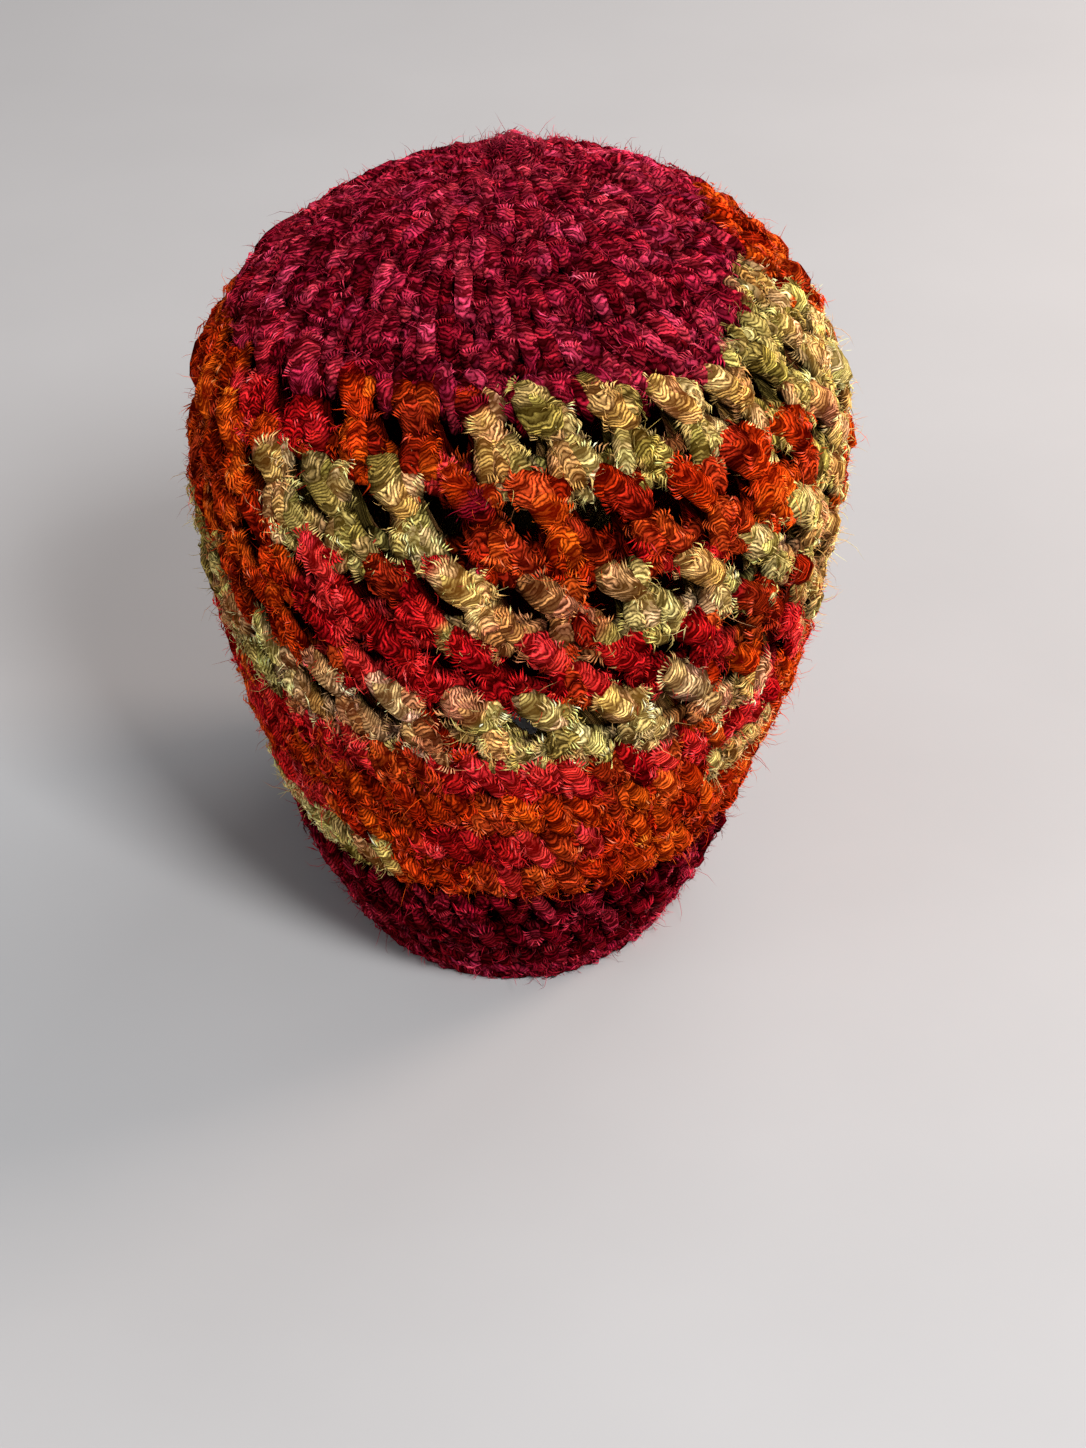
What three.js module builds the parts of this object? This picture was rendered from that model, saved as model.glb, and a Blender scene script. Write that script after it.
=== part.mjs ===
// Crocheted cap in one variegated yarn: a closed crown, open rounds, dense rounds and a brim.
// Millimetres, +Z up. The side that is seen faces -Y, and the rim stands on z = 0.
import * as THREE from "three";

const WALL = 4.6; // thickness of the crocheted fabric
const GAP = 0.3; // clearance between two neighbouring rounds
const GROUPS = 27; // leaning stitch groups in each round
const LEAN = 0.5; // how far a group leans over within its round, in groups
const FIRST_GAP = -1.5; // angle of the gap nearest to the front, in degrees
const FOOT = 0.2; // how far a zigzag edge dips below its line, as a share of its rise
const EDGE_HEIGHT = 5; // height of the chain edge
const EDGE_ROLL = 1.1; // how far the chain edge stands out
const BRIM_ROUNDS = 3;
const BRIM_RELIEF = 0.9;
const CROWN_ROUNDS = 7;
const CROWN_RELIEF = 0.8;
const KNOT_RADIUS = 7;
const KNOT_HEIGHT = 4;

// Sections of the outer surface from the rim up to the top of the crown. back and right say how far
// a section's centre stands from the middle.
const SECTIONS = [
  { z: 0, halfWidth: 45.2, halfDepth: 70.5, back: -0.5, right: -1.2 },
  { z: 17, halfWidth: 55.2, halfDepth: 80.8, back: -0.7, right: -1.2 },
  { z: 34, halfWidth: 61.4, halfDepth: 89.2, back: -0.7, right: -1 },
  { z: 54, halfWidth: 69.6, halfDepth: 95.7, back: -0.3, right: -0.5 },
  { z: 74, halfWidth: 76.2, halfDepth: 98, back: 0, right: 0 },
  { z: 91, halfWidth: 80.1, halfDepth: 98, back: 0, right: 0 },
  { z: 105, halfWidth: 82.7, halfDepth: 96.8, back: 0.2, right: 0 },
  { z: 121, halfWidth: 84.1, halfDepth: 93, back: 1, right: 0.2 },
  { z: 141, halfWidth: 80.7, halfDepth: 83.5, back: 1.5, right: 0.3 },
  { z: 158, halfWidth: 70.7, halfDepth: 69.5, back: 1.5, right: 0.8 },
  { z: 164.4, halfWidth: 65.2, halfDepth: 62.6, back: 4, right: 1.4 },
  { z: 170.9, halfWidth: 56.5, halfDepth: 53.5, back: 7.1, right: 2.2 },
  { z: 176.6, halfWidth: 45.2, halfDepth: 41.8, back: 11.8, right: 2.7 },
  { z: 180.3, halfWidth: 32, halfDepth: 28.8, back: 17.3, right: 3 },
  { z: 182.6, halfWidth: 19.5, halfDepth: 16.5, back: 23.5, right: 2.5 },
  { z: 184.4, halfWidth: 8.5, halfDepth: 7.2, back: 27.2, right: 1 },
  { z: 186, halfWidth: 0, halfDepth: 0, back: 28, right: -0.8 },
];

// Shallow folds of the outer surface: where each is, how far it reaches round and up, and its depth.
const FOLDS = [
  { angle: -6, z: 98, reach: 7, rise: 55, depth: 1.2 }, // the join of the rounds
  { angle: 48, z: 171, reach: 12, rise: 9, depth: 1.6 }, // dent where the crown turns over
  { angle: -42, z: 173, reach: 16, rise: 8, depth: 1.3 },
  { angle: 66, z: 96, reach: 9, rise: 16, depth: 1.2 },
  { angle: -64, z: 84, reach: 11, rise: 18, depth: 1.1 },
  { angle: 150, z: 120, reach: 18, rise: 26, depth: 1.2 },
];

// Lines where two rounds meet, from the crown down: height at the front, how much lower the line
// lies at the sides and the back, and how far its zigzag rises.
const LINES = [
  { z: 160, drop: 0, rise: 3 },
  { z: 143.3, drop: 0, rise: 2.8 },
  { z: 124.8, drop: 0, rise: 2.8 },
  { z: 109, drop: 0, rise: 2.6 },
  { z: 94.8, drop: 0, rise: 2.4 },
  { z: 78.8, drop: 0, rise: 2.2 },
  { z: 68.4, drop: 0, rise: 1.8 },
  { z: 57.4, drop: 1, rise: 1.8 },
  { z: 46.5, drop: 3, rise: 1.8 },
  { z: 36, drop: 8, rise: 1.4 },
];

// Rounds between those lines: notch is the depth of a gap between two groups, open how many of the
// gaps are cut, steps the stations in a group, swell how far the groups stand out.
const ROUNDS = [
  { name: "mesh_round_1", notch: 5.5, open: 27, steps: 4, swell: 1.6, colour: 0xb86a2c },
  { name: "mesh_round_2", notch: 9, open: 27, steps: 4, swell: 1.7, colour: 0xb5461a },
  { name: "mesh_round_3", notch: 6.5, open: 27, steps: 4, swell: 1.6, colour: 0xa85a32 },
  { name: "mesh_round_4", notch: 5.5, open: 27, steps: 4, swell: 1.5, colour: 0xb81f22 },
  { name: "mesh_round_5", notch: 4.8, open: 12, steps: 4, swell: 1.5, colour: 0xb9935a },
  { name: "close_round_1", notch: 0, open: 0, steps: 2, swell: 1.3, colour: 0xb32024 },
  { name: "close_round_2", notch: 0, open: 0, steps: 2, swell: 1.3, colour: 0xc24a14 },
  { name: "close_round_3", notch: 0, open: 0, steps: 2, swell: 1.3, colour: 0xb92d1a },
  { name: "close_round_4", notch: 0, open: 0, steps: 2, swell: 1.2, colour: 0xb5561a },
];

const MAROON = 0x6b1230;

// Value of a column at t, counted in sections from the rim. Both ends run on straight.
function column(name, t) {
  const last = SECTIONS.length - 1;
  const i = Math.min(Math.max(Math.floor(t), 0), last - 1);
  const f = t - i;
  const at = (k) => {
    if (k < 0) return 2 * SECTIONS[0][name] - SECTIONS[1][name];
    if (k > last) return 2 * SECTIONS[last][name] - SECTIONS[last - 1][name];
    return SECTIONS[k][name];
  };
  const [a, b, c, d] = [at(i - 1), at(i), at(i + 1), at(i + 2)];
  return 0.5 * (2 * b + (c - a) * f + (2 * a - 5 * b + 4 * c - d) * f ** 2 + (3 * b - a - 3 * c + d) * f ** 3);
}

// The t at which the surface has height z.
function sectionAt(z) {
  let low = 0;
  let high = SECTIONS.length - 1;
  for (let i = 0; i < 40; i += 1) {
    const middle = (low + high) / 2;
    if (column("z", middle) < z) low = middle;
    else high = middle;
  }
  return (low + high) / 2;
}

// Depth of the folds at an angle from the front and a height.
function foldDepth(angle, z, radius) {
  let depth = 0;
  for (const fold of FOLDS) {
    const turn = THREE.MathUtils.euclideanModulo(angle - fold.angle + 180, 360) - 180;
    const across = (THREE.MathUtils.degToRad(turn) * radius) / fold.reach;
    depth += fold.depth * Math.exp(-(across ** 2) - ((z - fold.z) / fold.rise) ** 2);
  }
  return depth;
}

// Point of the smooth outer surface. The angle runs from the front to the right.
function smooth(angle, t) {
  const a = THREE.MathUtils.degToRad(angle);
  return new THREE.Vector3(
    column("right", t) + column("halfWidth", t) * Math.sin(a),
    column("back", t) - column("halfDepth", t) * Math.cos(a),
    column("z", t),
  );
}

// Point that stands out from the surface by a distance, or lies inside it when that is negative.
function skin(angle, t, out) {
  const point = smooth(angle, t);
  if (t > SECTIONS.length - 1.001) return point.add(new THREE.Vector3(0, 0, out));
  const round = smooth(angle + 0.05, t).sub(smooth(angle - 0.05, t));
  const up = smooth(angle, t + 0.002).sub(smooth(angle, t - 0.002));
  const normal = round.cross(up).normalize();
  const radius = (column("halfWidth", t) + column("halfDepth", t)) / 2;
  return point.addScaledVector(normal, out - foldDepth(angle, point.z, radius));
}

// Angle of a place counted in groups from the first gap.
function angleOf(place) {
  return FIRST_GAP + (place * 360) / GROUPS;
}

// Height of a line at a place. It is low over a gap and high where the next round's group rises.
function lineHeight(line, place) {
  const front = Math.max(0, Math.cos(THREE.MathUtils.degToRad(angleOf(place))));
  const phase = THREE.MathUtils.euclideanModulo(place, 1);
  const zigzag = (1 + FOOT) * (1 - Math.abs(2 * phase - 1)) - FOOT;
  return line.z - line.drop * (1 - front) + line.rise * zigzag;
}

// Closed solid from loops of points that follow one another round a cross-section. With a pole at
// both ends the loops make a cap instead of a ring.
function solid(loops, poles) {
  const count = loops[0].length;
  const points = loops.flat();
  const faces = [];
  const joined = poles ? loops.length - 1 : loops.length;
  for (let i = 0; i < joined; i += 1) {
    const next = (i + 1) % loops.length;
    for (let j = 0; j < count; j += 1) {
      const k = (j + 1) % count;
      const [a, b] = [i * count + j, i * count + k];
      const [c, d] = [next * count + k, next * count + j];
      faces.push(a, b, c, a, c, d);
    }
  }
  if (poles) {
    const first = points.push(poles[0]) - 1;
    const last = points.push(poles[1]) - 1;
    for (let j = 0; j < count; j += 1) {
      const k = (j + 1) % count;
      faces.push(first, k, j);
      faces.push(last, (loops.length - 1) * count + j, (loops.length - 1) * count + k);
    }
  }
  const geometry = new THREE.BufferGeometry().setFromPoints(points);
  geometry.setIndex(faces);
  geometry.computeVertexNormals();
  return geometry;
}

// One mesh with its own material.
function piece(name, geometry, colour) {
  const material = new THREE.MeshStandardMaterial({ color: colour, roughness: 0.95, metalness: 0 });
  const mesh = new THREE.Mesh(geometry, material);
  mesh.name = name;
  return mesh;
}

// A round of leaning groups, with notches in its upper edge that the round above closes into gaps.
function groupRound(row, number) {
  const [outerLow, outerMiddle, outerHigh, innerHigh, innerLow] = [[], [], [], [], []];
  for (let j = 0; j < GROUPS * row.steps; j += 1) {
    const place = j / row.steps;
    const phase = place % 1;
    const open = phase === 0 && (place * row.open) % GROUPS < row.open;
    const notch = open ? row.notch * (0.9 + 0.14 * Math.sin(2.4 * place + number)) : 0;
    const above = lineHeight(LINES[number], place) - GAP / 2 - notch;
    const below = lineHeight(LINES[number + 1], place + LEAN) + GAP / 2;
    const [high, low] = [sectionAt(above), sectionAt(below)];
    const [angleHigh, angleLow] = [angleOf(place), angleOf(place + LEAN)];
    const bulge = 1.5 * (1 - Math.abs(2 * phase - 1)) - 0.5;
    outerLow.push(skin(angleLow, low, 0));
    outerMiddle.push(skin((angleHigh + angleLow) / 2, (high + low) / 2, row.swell * bulge));
    outerHigh.push(skin(angleHigh, high, 0));
    innerHigh.push(skin(angleHigh, high, -WALL));
    innerLow.push(skin(angleLow, low, -WALL));
  }
  const loops = [outerLow, outerMiddle, outerHigh, innerHigh, innerLow];
  return piece(row.name, solid(loops), row.colour);
}

// Stations of the plain pieces: two for each group.
function stations(make) {
  return Array.from({ length: 2 * GROUPS }, (_, j) => make(j / 2, j % 2));
}

// The closed crown: ridges of stitches outside, smooth inside.
function crown() {
  const last = SECTIONS.length - 1;
  const edge = (place) => sectionAt(lineHeight(LINES[0], place) + GAP / 2);
  const inner = [0.8, 0.6, 0.4, 0.2].map((share) =>
    stations((place) => skin(angleOf(place), last + (edge(place) - last) * share, -WALL)),
  );
  const outer = Array.from({ length: 2 * CROWN_ROUNDS - 1 }, (_, i) => {
    const share = 1 - (i + 1) / (2 * CROWN_ROUNDS);
    const ridge = i % 2 === 0;
    return stations((place, odd) => {
      const relief = ridge ? CROWN_RELIEF * (odd ? 1 : 0.3) : -CROWN_RELIEF;
      return skin(angleOf(place), last + (edge(place) - last) * share, relief);
    });
  });
  const loops = [
    ...inner.reverse(),
    stations((place) => skin(angleOf(place), edge(place), -WALL)),
    stations((place) => skin(angleOf(place), edge(place), 0)),
    ...outer,
  ];
  return piece("crown", solid(loops, [skin(0, last, -WALL), skin(0, last, 0)]), MAROON);
}

// The small knot on top of the crown.
function crownKnot() {
  const top = SECTIONS[SECTIONS.length - 1];
  const level = (radius, height) =>
    Array.from({ length: 14 }, (_, j) => {
      const a = (j * 2 * Math.PI) / 14;
      const r = radius * (j % 2 ? 1 : 0.9);
      return new THREE.Vector3(top.right + r * Math.sin(a), top.back - r * Math.cos(a), top.z + 0.5 + height);
    });
  const loops = [
    level(0.75 * KNOT_RADIUS, 0),
    level(KNOT_RADIUS, 0.35 * KNOT_HEIGHT),
    level(0.8 * KNOT_RADIUS, 0.8 * KNOT_HEIGHT),
    level(0.4 * KNOT_RADIUS, 0.97 * KNOT_HEIGHT),
  ];
  const poles = [0, KNOT_HEIGHT].map((h) => new THREE.Vector3(top.right, top.back, top.z + 0.5 + h));
  return piece("crown_knot", solid(loops, poles), MAROON);
}

// The maroon band, with its upper edge on the last line.
function brim() {
  const low = sectionAt(EDGE_HEIGHT + GAP);
  const high = (place) => sectionAt(lineHeight(LINES[LINES.length - 1], place) - GAP / 2);
  const ridges = Array.from({ length: 2 * BRIM_ROUNDS - 1 }, (_, i) => {
    const share = (i + 1) / (2 * BRIM_ROUNDS);
    return stations((place, odd) => {
      const relief = i % 2 === 0 ? BRIM_RELIEF * (odd ? 1 : 0.4) : -0.6 * BRIM_RELIEF;
      return skin(angleOf(place), low + (high(place) - low) * share, relief);
    });
  });
  const loops = [
    stations((place) => skin(angleOf(place), low, 0)),
    ...ridges,
    stations((place) => skin(angleOf(place), high(place), 0)),
    stations((place) => skin(angleOf(place), high(place), -WALL)),
    stations((place) => skin(angleOf(place), (low + high(place)) / 2, -WALL)),
    stations((place) => skin(angleOf(place), low, -WALL)),
  ];
  return piece("brim", solid(loops), MAROON);
}

// The chain edge, with a flat underside all round.
function brimEdge() {
  const top = sectionAt(EDGE_HEIGHT);
  const flat = (place, inset, z) => {
    const point = smooth(angleOf(place), sectionAt(z));
    const shrink = 1 - inset / Math.hypot(point.x, point.y);
    return new THREE.Vector3(point.x * shrink, point.y * shrink, z);
  };
  const loops = [
    stations((place) => flat(place, 0.4, 0)),
    stations((place, odd) => skin(angleOf(place), top / 2, EDGE_ROLL * (odd ? 1 : 0.45))),
    stations((place) => skin(angleOf(place), top, 0)),
    stations((place) => skin(angleOf(place), top, -WALL)),
    stations((place) => flat(place, WALL + 0.9, 2.6)),
    stations((place) => flat(place, WALL + 0.6, 0)),
  ];
  return piece("brim_edge", solid(loops), MAROON);
}

const hat = new THREE.Group();
hat.name = "crocheted_cap";
hat.add(crownKnot(), crown(), ...ROUNDS.map(groupRound), brim(), brimEdge());

export default hat;
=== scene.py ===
"""Crocheted cap in one variegated yarn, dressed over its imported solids."""
import math

import bpy
import numpy as np
from mathutils import Matrix, Vector


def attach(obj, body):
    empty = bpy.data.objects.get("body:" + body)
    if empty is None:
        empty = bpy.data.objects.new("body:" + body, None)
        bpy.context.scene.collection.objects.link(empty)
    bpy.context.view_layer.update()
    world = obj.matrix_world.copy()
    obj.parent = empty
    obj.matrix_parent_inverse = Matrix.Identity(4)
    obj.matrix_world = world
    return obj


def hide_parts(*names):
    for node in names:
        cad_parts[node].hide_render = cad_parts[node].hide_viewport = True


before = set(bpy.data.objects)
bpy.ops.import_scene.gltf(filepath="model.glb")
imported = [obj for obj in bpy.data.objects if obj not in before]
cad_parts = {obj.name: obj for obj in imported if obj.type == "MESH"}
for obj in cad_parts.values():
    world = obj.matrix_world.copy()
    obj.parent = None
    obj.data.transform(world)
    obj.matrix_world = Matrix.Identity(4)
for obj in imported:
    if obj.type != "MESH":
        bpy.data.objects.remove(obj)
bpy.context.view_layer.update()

bl_info = {
    "name": "Crocheted Cap",
    "version": (1, 0, 0),
    "blender": (4, 5, 0),
    "location": "3D View > Sidebar > Crocheted Cap",
    "description": "Builds the yarn of a crocheted cap, the floor it stands on and its lights",
    "category": "Object",
}

# Sections of the outer surface, in millimetres, from the rim to the top of the crown: height, half
# width, half depth, and how far back and how far to the right the middle lies.
HEIGHT, WIDE, DEEP, BACK, RIGHT = range(5)
SECTIONS = np.array([
    (0, 45.2, 70.5, -0.5, -1.2),
    (17, 55.2, 80.8, -0.7, -1.2),
    (34, 61.4, 89.2, -0.7, -1),
    (54, 69.6, 95.7, -0.3, -0.5),
    (74, 76.2, 98, 0, 0),
    (91, 80.1, 98, 0, 0),
    (105, 82.7, 96.8, 0.2, 0),
    (121, 84.1, 93, 1, 0.2),
    (141, 80.7, 83.5, 1.5, 0.3),
    (158, 70.7, 69.5, 1.5, 0.8),
    (164.4, 65.2, 62.6, 4, 1.4),
    (170.9, 56.5, 53.5, 7.1, 2.2),
    (176.6, 45.2, 41.8, 11.8, 2.7),
    (180.3, 32, 28.8, 17.3, 3),
    (182.6, 19.5, 16.5, 23.5, 2.5),
    (184.4, 8.5, 7.2, 27.2, 1),
    (186, 0, 0, 28, -0.8),
])
LAST = len(SECTIONS) - 1

# Shallow folds: angle, height, reach round, reach up, depth.
FOLDS = (
    (-6, 98, 7, 55, 1.2),
    (48, 171, 12, 9, 1.6),
    (-42, 173, 16, 8, 1.3),
    (66, 96, 9, 16, 1.2),
    (-64, 84, 11, 18, 1.1),
    (150, 120, 18, 26, 1.2),
    (-90, 127, 30, 11, 2.4),
)

# Lines where two rounds meet: height at the front, how much lower at the sides and the back. The
# crown ends at the first and the brim begins at the last. Groups are thicker in taller rounds.
LINES = (
    (160, 0), (143.3, 0), (124.8, 0), (109, 0), (94.8, 0),
    (78.8, 0), (68.4, 0), (57.4, 1), (46.5, 3), (36, 8),
)
CROWN_LINE = 0
BRIM_LINE = 9
USUAL_ROUND = 17.5

# Leaning groups of the open rounds: how many stand round the cap, how far each leans in groups,
# and the angle of the first gap.
GROUPS = 27
LEAN = 0.5
FIRST_GAP = -1.5

# First number of the random draws of the rounds, to which each adds its own.
ROUND_SEED = 100

# Steps along the surface that give its slope, how near a point may come to the top, and how many
# heights are tabled.
ANGLE_STEP = 0.1
SECTION_STEP = 0.01
TOP_MARGIN = 0.02
LADDER_COUNT = 1601

# How far the strands lie inside the outer surface, so that only their tops reach it.
SUNK = 1.9
SUNK_BRIM = 0.9

# Half thickness of a strand that shows the full count of fine threads round it.
FULL_STRAND = 3.3

# Shape of a strand: its width against its thickness, its thickness against that where nothing
# flattens it, how uneven the yarn is, how far its ends point out and how much shade is painted on
# them, how thick it stays there and how far its thickness varies, and how far strands and fibres
# stay above the floor.
STRAND_WIDTH = 1.08
STRAND_FLAT = 0.82
LUMPS = 0.17
TIP_REACH = 0.5
TIP_SHADE = 0.3
END_THICKNESS = 0.42
END_ROUNDING = 0.42
THICKNESS_RANGE = (0.9, 1.12)
STRAND_CLEARANCE = 0.02
FIBRE_CLEARANCE = 0.05

# Shade painted into the colour by height between the strands: share of the light at the
# bottom, how much more at the top, from which height, over which span, and how steeply.
PIT_LIGHT = (0.05, 0.95, -1.2, 3.4, 1.6)
ROOT_LIGHT = (0.2, 0.85, -0.2, 2.2, 1.0)

# Where threads and fibres may be rooted: how far round to a strand's side, and how high. Threads
# branch off from there down the strand's side and back along it.
ROOT_SIDE = -0.2
ROOT_HEIGHT = 0.1
BRANCH_DOWN = 0.7
BRANCH_BACK = 0.77
LEAST_SLOPE = 0.35

# Bunches of threads that fan out, in millimetres and radians: threads in each, their length and
# how it varies within one, angle of the fan, half width at the root, height, depth of the root,
# how fast the middle and the end sink back to the strand, how far directions stray and threads
# curl, and half thickness. Then the light of a bunch and of a thread, and the painted glints.
BUNCH_THREADS = 6
BUNCH_LENGTH = (2.6, 4.9)
THREAD_LENGTH = (0.75, 1.1)
BUNCH_FAN = (0.25, 0.75)
BUNCH_HALF_WIDTH = 1.35
BUNCH_LIFT = (0.3, 0.75)
BUNCH_ROOT = 0.25
MIDDLE_SINK = 0.022
END_SINK = 0.075
BRANCH_STRAY = 0.22
FAN_STRAY = 0.07
BUNCH_CURL = 0.16
FAN_CURL = 0.12
BUNCH_WIDTH = 0.24
BUNCH_LIGHT = (0.5, 1.8)
THREAD_LIGHT = (0.65, 1.35)
HUE_STRAY = (0, 0.10, 0.18)
GLINT_CHANCE = 0.12
GLINT_GAIN = 1.5
GLINT_WHITE = (0.08, 0.07, 0.07)

# Loose fibres: share of all, shortest, longest and half thickness. The longest of the long ones is
# a setting.
SHORT_FIBRES = (0.9, 1.4, 4.4, 0.075)
LONG_FIBRES = (0.1, 3.0, 0.085)

# How loose fibres run: how much of their heading leads out of the strand, out of the cap and
# astray, depth of the root, how far they bow, their light, and share of the length and of the bow
# at each bend.
FIBRE_HEADING = (0.6, 0.5, 0.75)
FIBRE_ROOT = 0.3
FIBRE_BOW = (0.25, 0.9)
FIBRE_LIGHT = (0.8, 1.7)
FIBRE_BENDS = ((0.36, 0.25), (0.68, 0.75), (0.8, 1.5))
FIBRE_TAPER = 0.6

# Three corners of a fibre's section, and the kinds of parts that a mesh of yarn is made of.
THIRDS = (0, 2.0944, 4.1888)
STRAND, FIBRE, SHELL = range(3)

# Bands of the baking map for strands, fibres and shells, and how much taller than wide the cell of
# a strand and of a fibre is. Shells lie one above another.
ATLAS_BANDS = ((0.0, 0.78), (0.78, 0.9), (0.9, 1.0))
ATLAS_SHAPES = (2.2, 8.0)
ATLAS_MARGIN = 0.08

# Section of the thin inner layer: share of its height, and how far out of the surface. Then the
# shade painted on it against the dye outside, inside and where one dye runs all round, the threads
# drawn round it, its points in each group, and how far it reaches past the lines above and below.
SHELL_SECTION = ((0.0, -4.0), (0.5, -3.6), (1.0, -4.0), (1.0, -5.0), (0.5, -5.4), (0.0, -5.0))
SHELL_OUTER_SHADE = 0.35
SHELL_INNER_SHADE = 0.6
PLAIN_SHELL_SHADE = 0.5
SHELL_THREADS = 60
SHELL_STEPS = 12
SHELL_INSET = 1.2
SHELL_OVERLAP = 1.05

# Gaps cut through the inner layer: how deep in each open round, how many where it isn't all of
# them, and half the width of one, in groups.
NOTCHES = (10.5, 12.8, 12.5, 11.5, 11.5)
FEWER_GAPS = {4: 12}
GAP_HALF_WIDTH = 0.28

# Colours of the dye as it runs along the yarn: a light, a middle and a deep turn of each.
DYES = {
    "maroon": ((0.64, 0.043, 0.094), (0.41, 0.014, 0.040), (0.23, 0.004, 0.014)),
    "wine": ((0.52, 0.024, 0.053), (0.31, 0.006, 0.018), (0.16, 0.001, 0.006)),
    "red": ((0.92, 0.048, 0.045), (0.70, 0.017, 0.018), (0.43, 0.006, 0.008)),
    "orange": ((0.90, 0.125, 0.010), (0.70, 0.050, 0.005), (0.44, 0.017, 0.003)),
    "rust": ((0.86, 0.115, 0.017), (0.59, 0.050, 0.010), (0.34, 0.015, 0.004)),
    "tan": ((1.00, 0.72, 0.29), (0.94, 0.59, 0.20), (0.77, 0.39, 0.12)),
    "olive": ((0.90, 0.70, 0.25), (0.70, 0.52, 0.15), (0.45, 0.30, 0.07)),
    "peach": ((0.98, 0.60, 0.30), (0.90, 0.42, 0.18), (0.66, 0.22, 0.08)),
    "brown": ((0.76, 0.36, 0.14), (0.52, 0.19, 0.07), (0.30, 0.08, 0.03)),
}

# Dyes that a strand may take instead, where the yarn changes within a run.
MATES = {
    "maroon": ("maroon", "maroon"),
    "wine": ("wine", "wine"),
    "red": ("red", "rust"),
    "orange": ("orange", "rust"),
    "rust": ("orange", "red"),
    "tan": ("olive", "peach"),
    "olive": ("tan", "peach"),
    "peach": ("tan", "orange"),
    "brown": ("rust", "tan"),
}
FIRST_MATE_CHANCE = 0.16
ANY_MATE_CHANCE = 0.28

# How the dye drifts along a strand, in turns, how far it waves, and how bright strands are.
TINT_DRIFT = 0.8
TINT_WAVE = 0.35
TINT_WAVE_LENGTH = 6
TINT_LIGHT = (0.85, 1.15)

# Runs of dye in each round: the angle up to which each runs, from the back over the left, front
# and right sides to the back again, and the dye.
RUNS = {
    "mesh_round_1": (
        (-120, "tan"), (-67, "orange"), (-37, "red"), (-24, "orange"), (-10, "rust"),
        (-8, "maroon"), (-2, "tan"), (7, "olive"), (14, "tan"), (38, "olive"),
        (50, "tan"), (68, "olive"), (92, "tan"), (125, "orange"), (181, "rust"),
    ),
    "mesh_round_2": (
        (-130, "red"), (-50, "orange"), (-38, "olive"), (-23, "olive"), (-13, "tan"),
        (-9, "orange"), (-6.5, "maroon"), (4, "rust"), (16, "orange"), (30, "rust"),
        (44, "rust"), (62, "orange"), (95, "olive"), (130, "tan"), (181, "red"),
    ),
    "mesh_round_3": (
        (-110, "tan"), (-41, "orange"), (-13, "red"), (-5, "tan"), (14, "brown"),
        (26, "olive"), (42, "tan"), (58, "olive"), (74, "tan"), (110, "rust"),
        (181, "orange"),
    ),
    "mesh_round_4": (
        (-140, "orange"), (-78, "tan"), (-64, "olive"), (-38, "orange"), (42, "red"),
        (60, "rust"), (84, "tan"), (120, "olive"), (181, "red"),
    ),
    "mesh_round_5": (
        (-130, "red"), (-92, "orange"), (-46, "olive"), (-7, "peach"), (10, "olive"),
        (27, "tan"), (52, "peach"), (64, "red"), (90, "tan"), (181, "rust"),
    ),
    "close_round_1": ((-110, "rust"), (58, "red"), (74, "orange"), (181, "red")),
    "close_round_2": (
        (-120, "red"), (-70, "orange"), (-52, "red"), (-8, "orange"), (10, "rust"),
        (40, "orange"), (60, "tan"), (85, "orange"), (181, "red"),
    ),
    "close_round_3": (
        (-120, "olive"), (-60, "orange"), (-42, "red"), (-20, "orange"), (18, "red"),
        (80, "orange"), (181, "tan"),
    ),
    "close_round_4": (
        (-100, "rust"), (-72, "olive"), (-50, "tan"), (-28, "olive"), (-8, "orange"),
        (14, "rust"), (90, "orange"), (181, "red"),
    ),
}

# Where the dye of the round above runs on into the tops of a round: from and to which angle, how
# far down, and the dye.
LATE = {"mesh_round_1": (-130, -38, 0.36, "wine")}

# Where the crown's lowest rounds already have the next dyes: from and to which angle, and the runs.
EARLY = ((48, 150), (63, 138), (82, 118))
EARLY_RUN = ((68, "olive"), (79, "tan"), (181, "orange"))

# Strands of one leaning group: half thickness in millimetres, which way and how closely its threads
# are laid, then points across, down and out. Across is in groups from the group's middle, down from
# 0 at the upper line to 1 at the lower. The spread is how far the points stray, and the nudge how
# far the whole group does.
GROUP_STRANDS = (
    (4.2, 1, ((-0.34, -0.25, -1.4), (-0.25, -0.08, 0.3), (-0.13, 0.10, 0.9),
              (-0.02, 0.27, 0.7), (0.04, 0.43, -0.6))),
    (3.3, -1, ((0.22, -0.17, -1.5), (0.17, -0.01, 0.2), (0.11, 0.16, 0.5), (0.06, 0.34, -0.8))),
    (3.0, -1, ((0.00, 0.28, -1.3), (-0.10, 0.50, 0.3), (-0.22, 0.74, 0.5), (-0.33, 1.00, -1.0))),
    (3.0, 1, ((0.04, 0.28, -1.4), (0.13, 0.50, 0.2), (0.24, 0.76, 0.4), (0.34, 1.01, -1.0))),
    (3.2, -1, ((0.02, 0.34, -1.0), (0.01, 0.54, 0.8), (0.00, 0.74, 0.8), (-0.01, 0.97, -0.8))),
    (2.2, 1, ((-0.47, 0.84, -1.9), (-0.40, 1.00, -0.1), (-0.28, 1.05, 0.3),
              (-0.17, 0.94, -0.3), (-0.13, 0.76, -1.5))),
    (2.0, 1, ((-0.13, 0.76, -1.5), (-0.09, 0.94, 0.1), (0.01, 1.03, 0.5),
              (0.11, 0.96, 0.0), (0.15, 0.76, -1.5))),
    (2.2, 1, ((0.15, 0.76, -1.5), (0.20, 0.96, -0.1), (0.31, 1.07, 0.3),
              (0.42, 1.00, -0.3), (0.49, 0.82, -1.9))),
    (2.3, 1, ((0.24, 0.58, -1.8), (0.38, 0.66, -0.8), (0.54, 0.70, -0.7), (0.74, 0.62, -1.9))),
)
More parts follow.
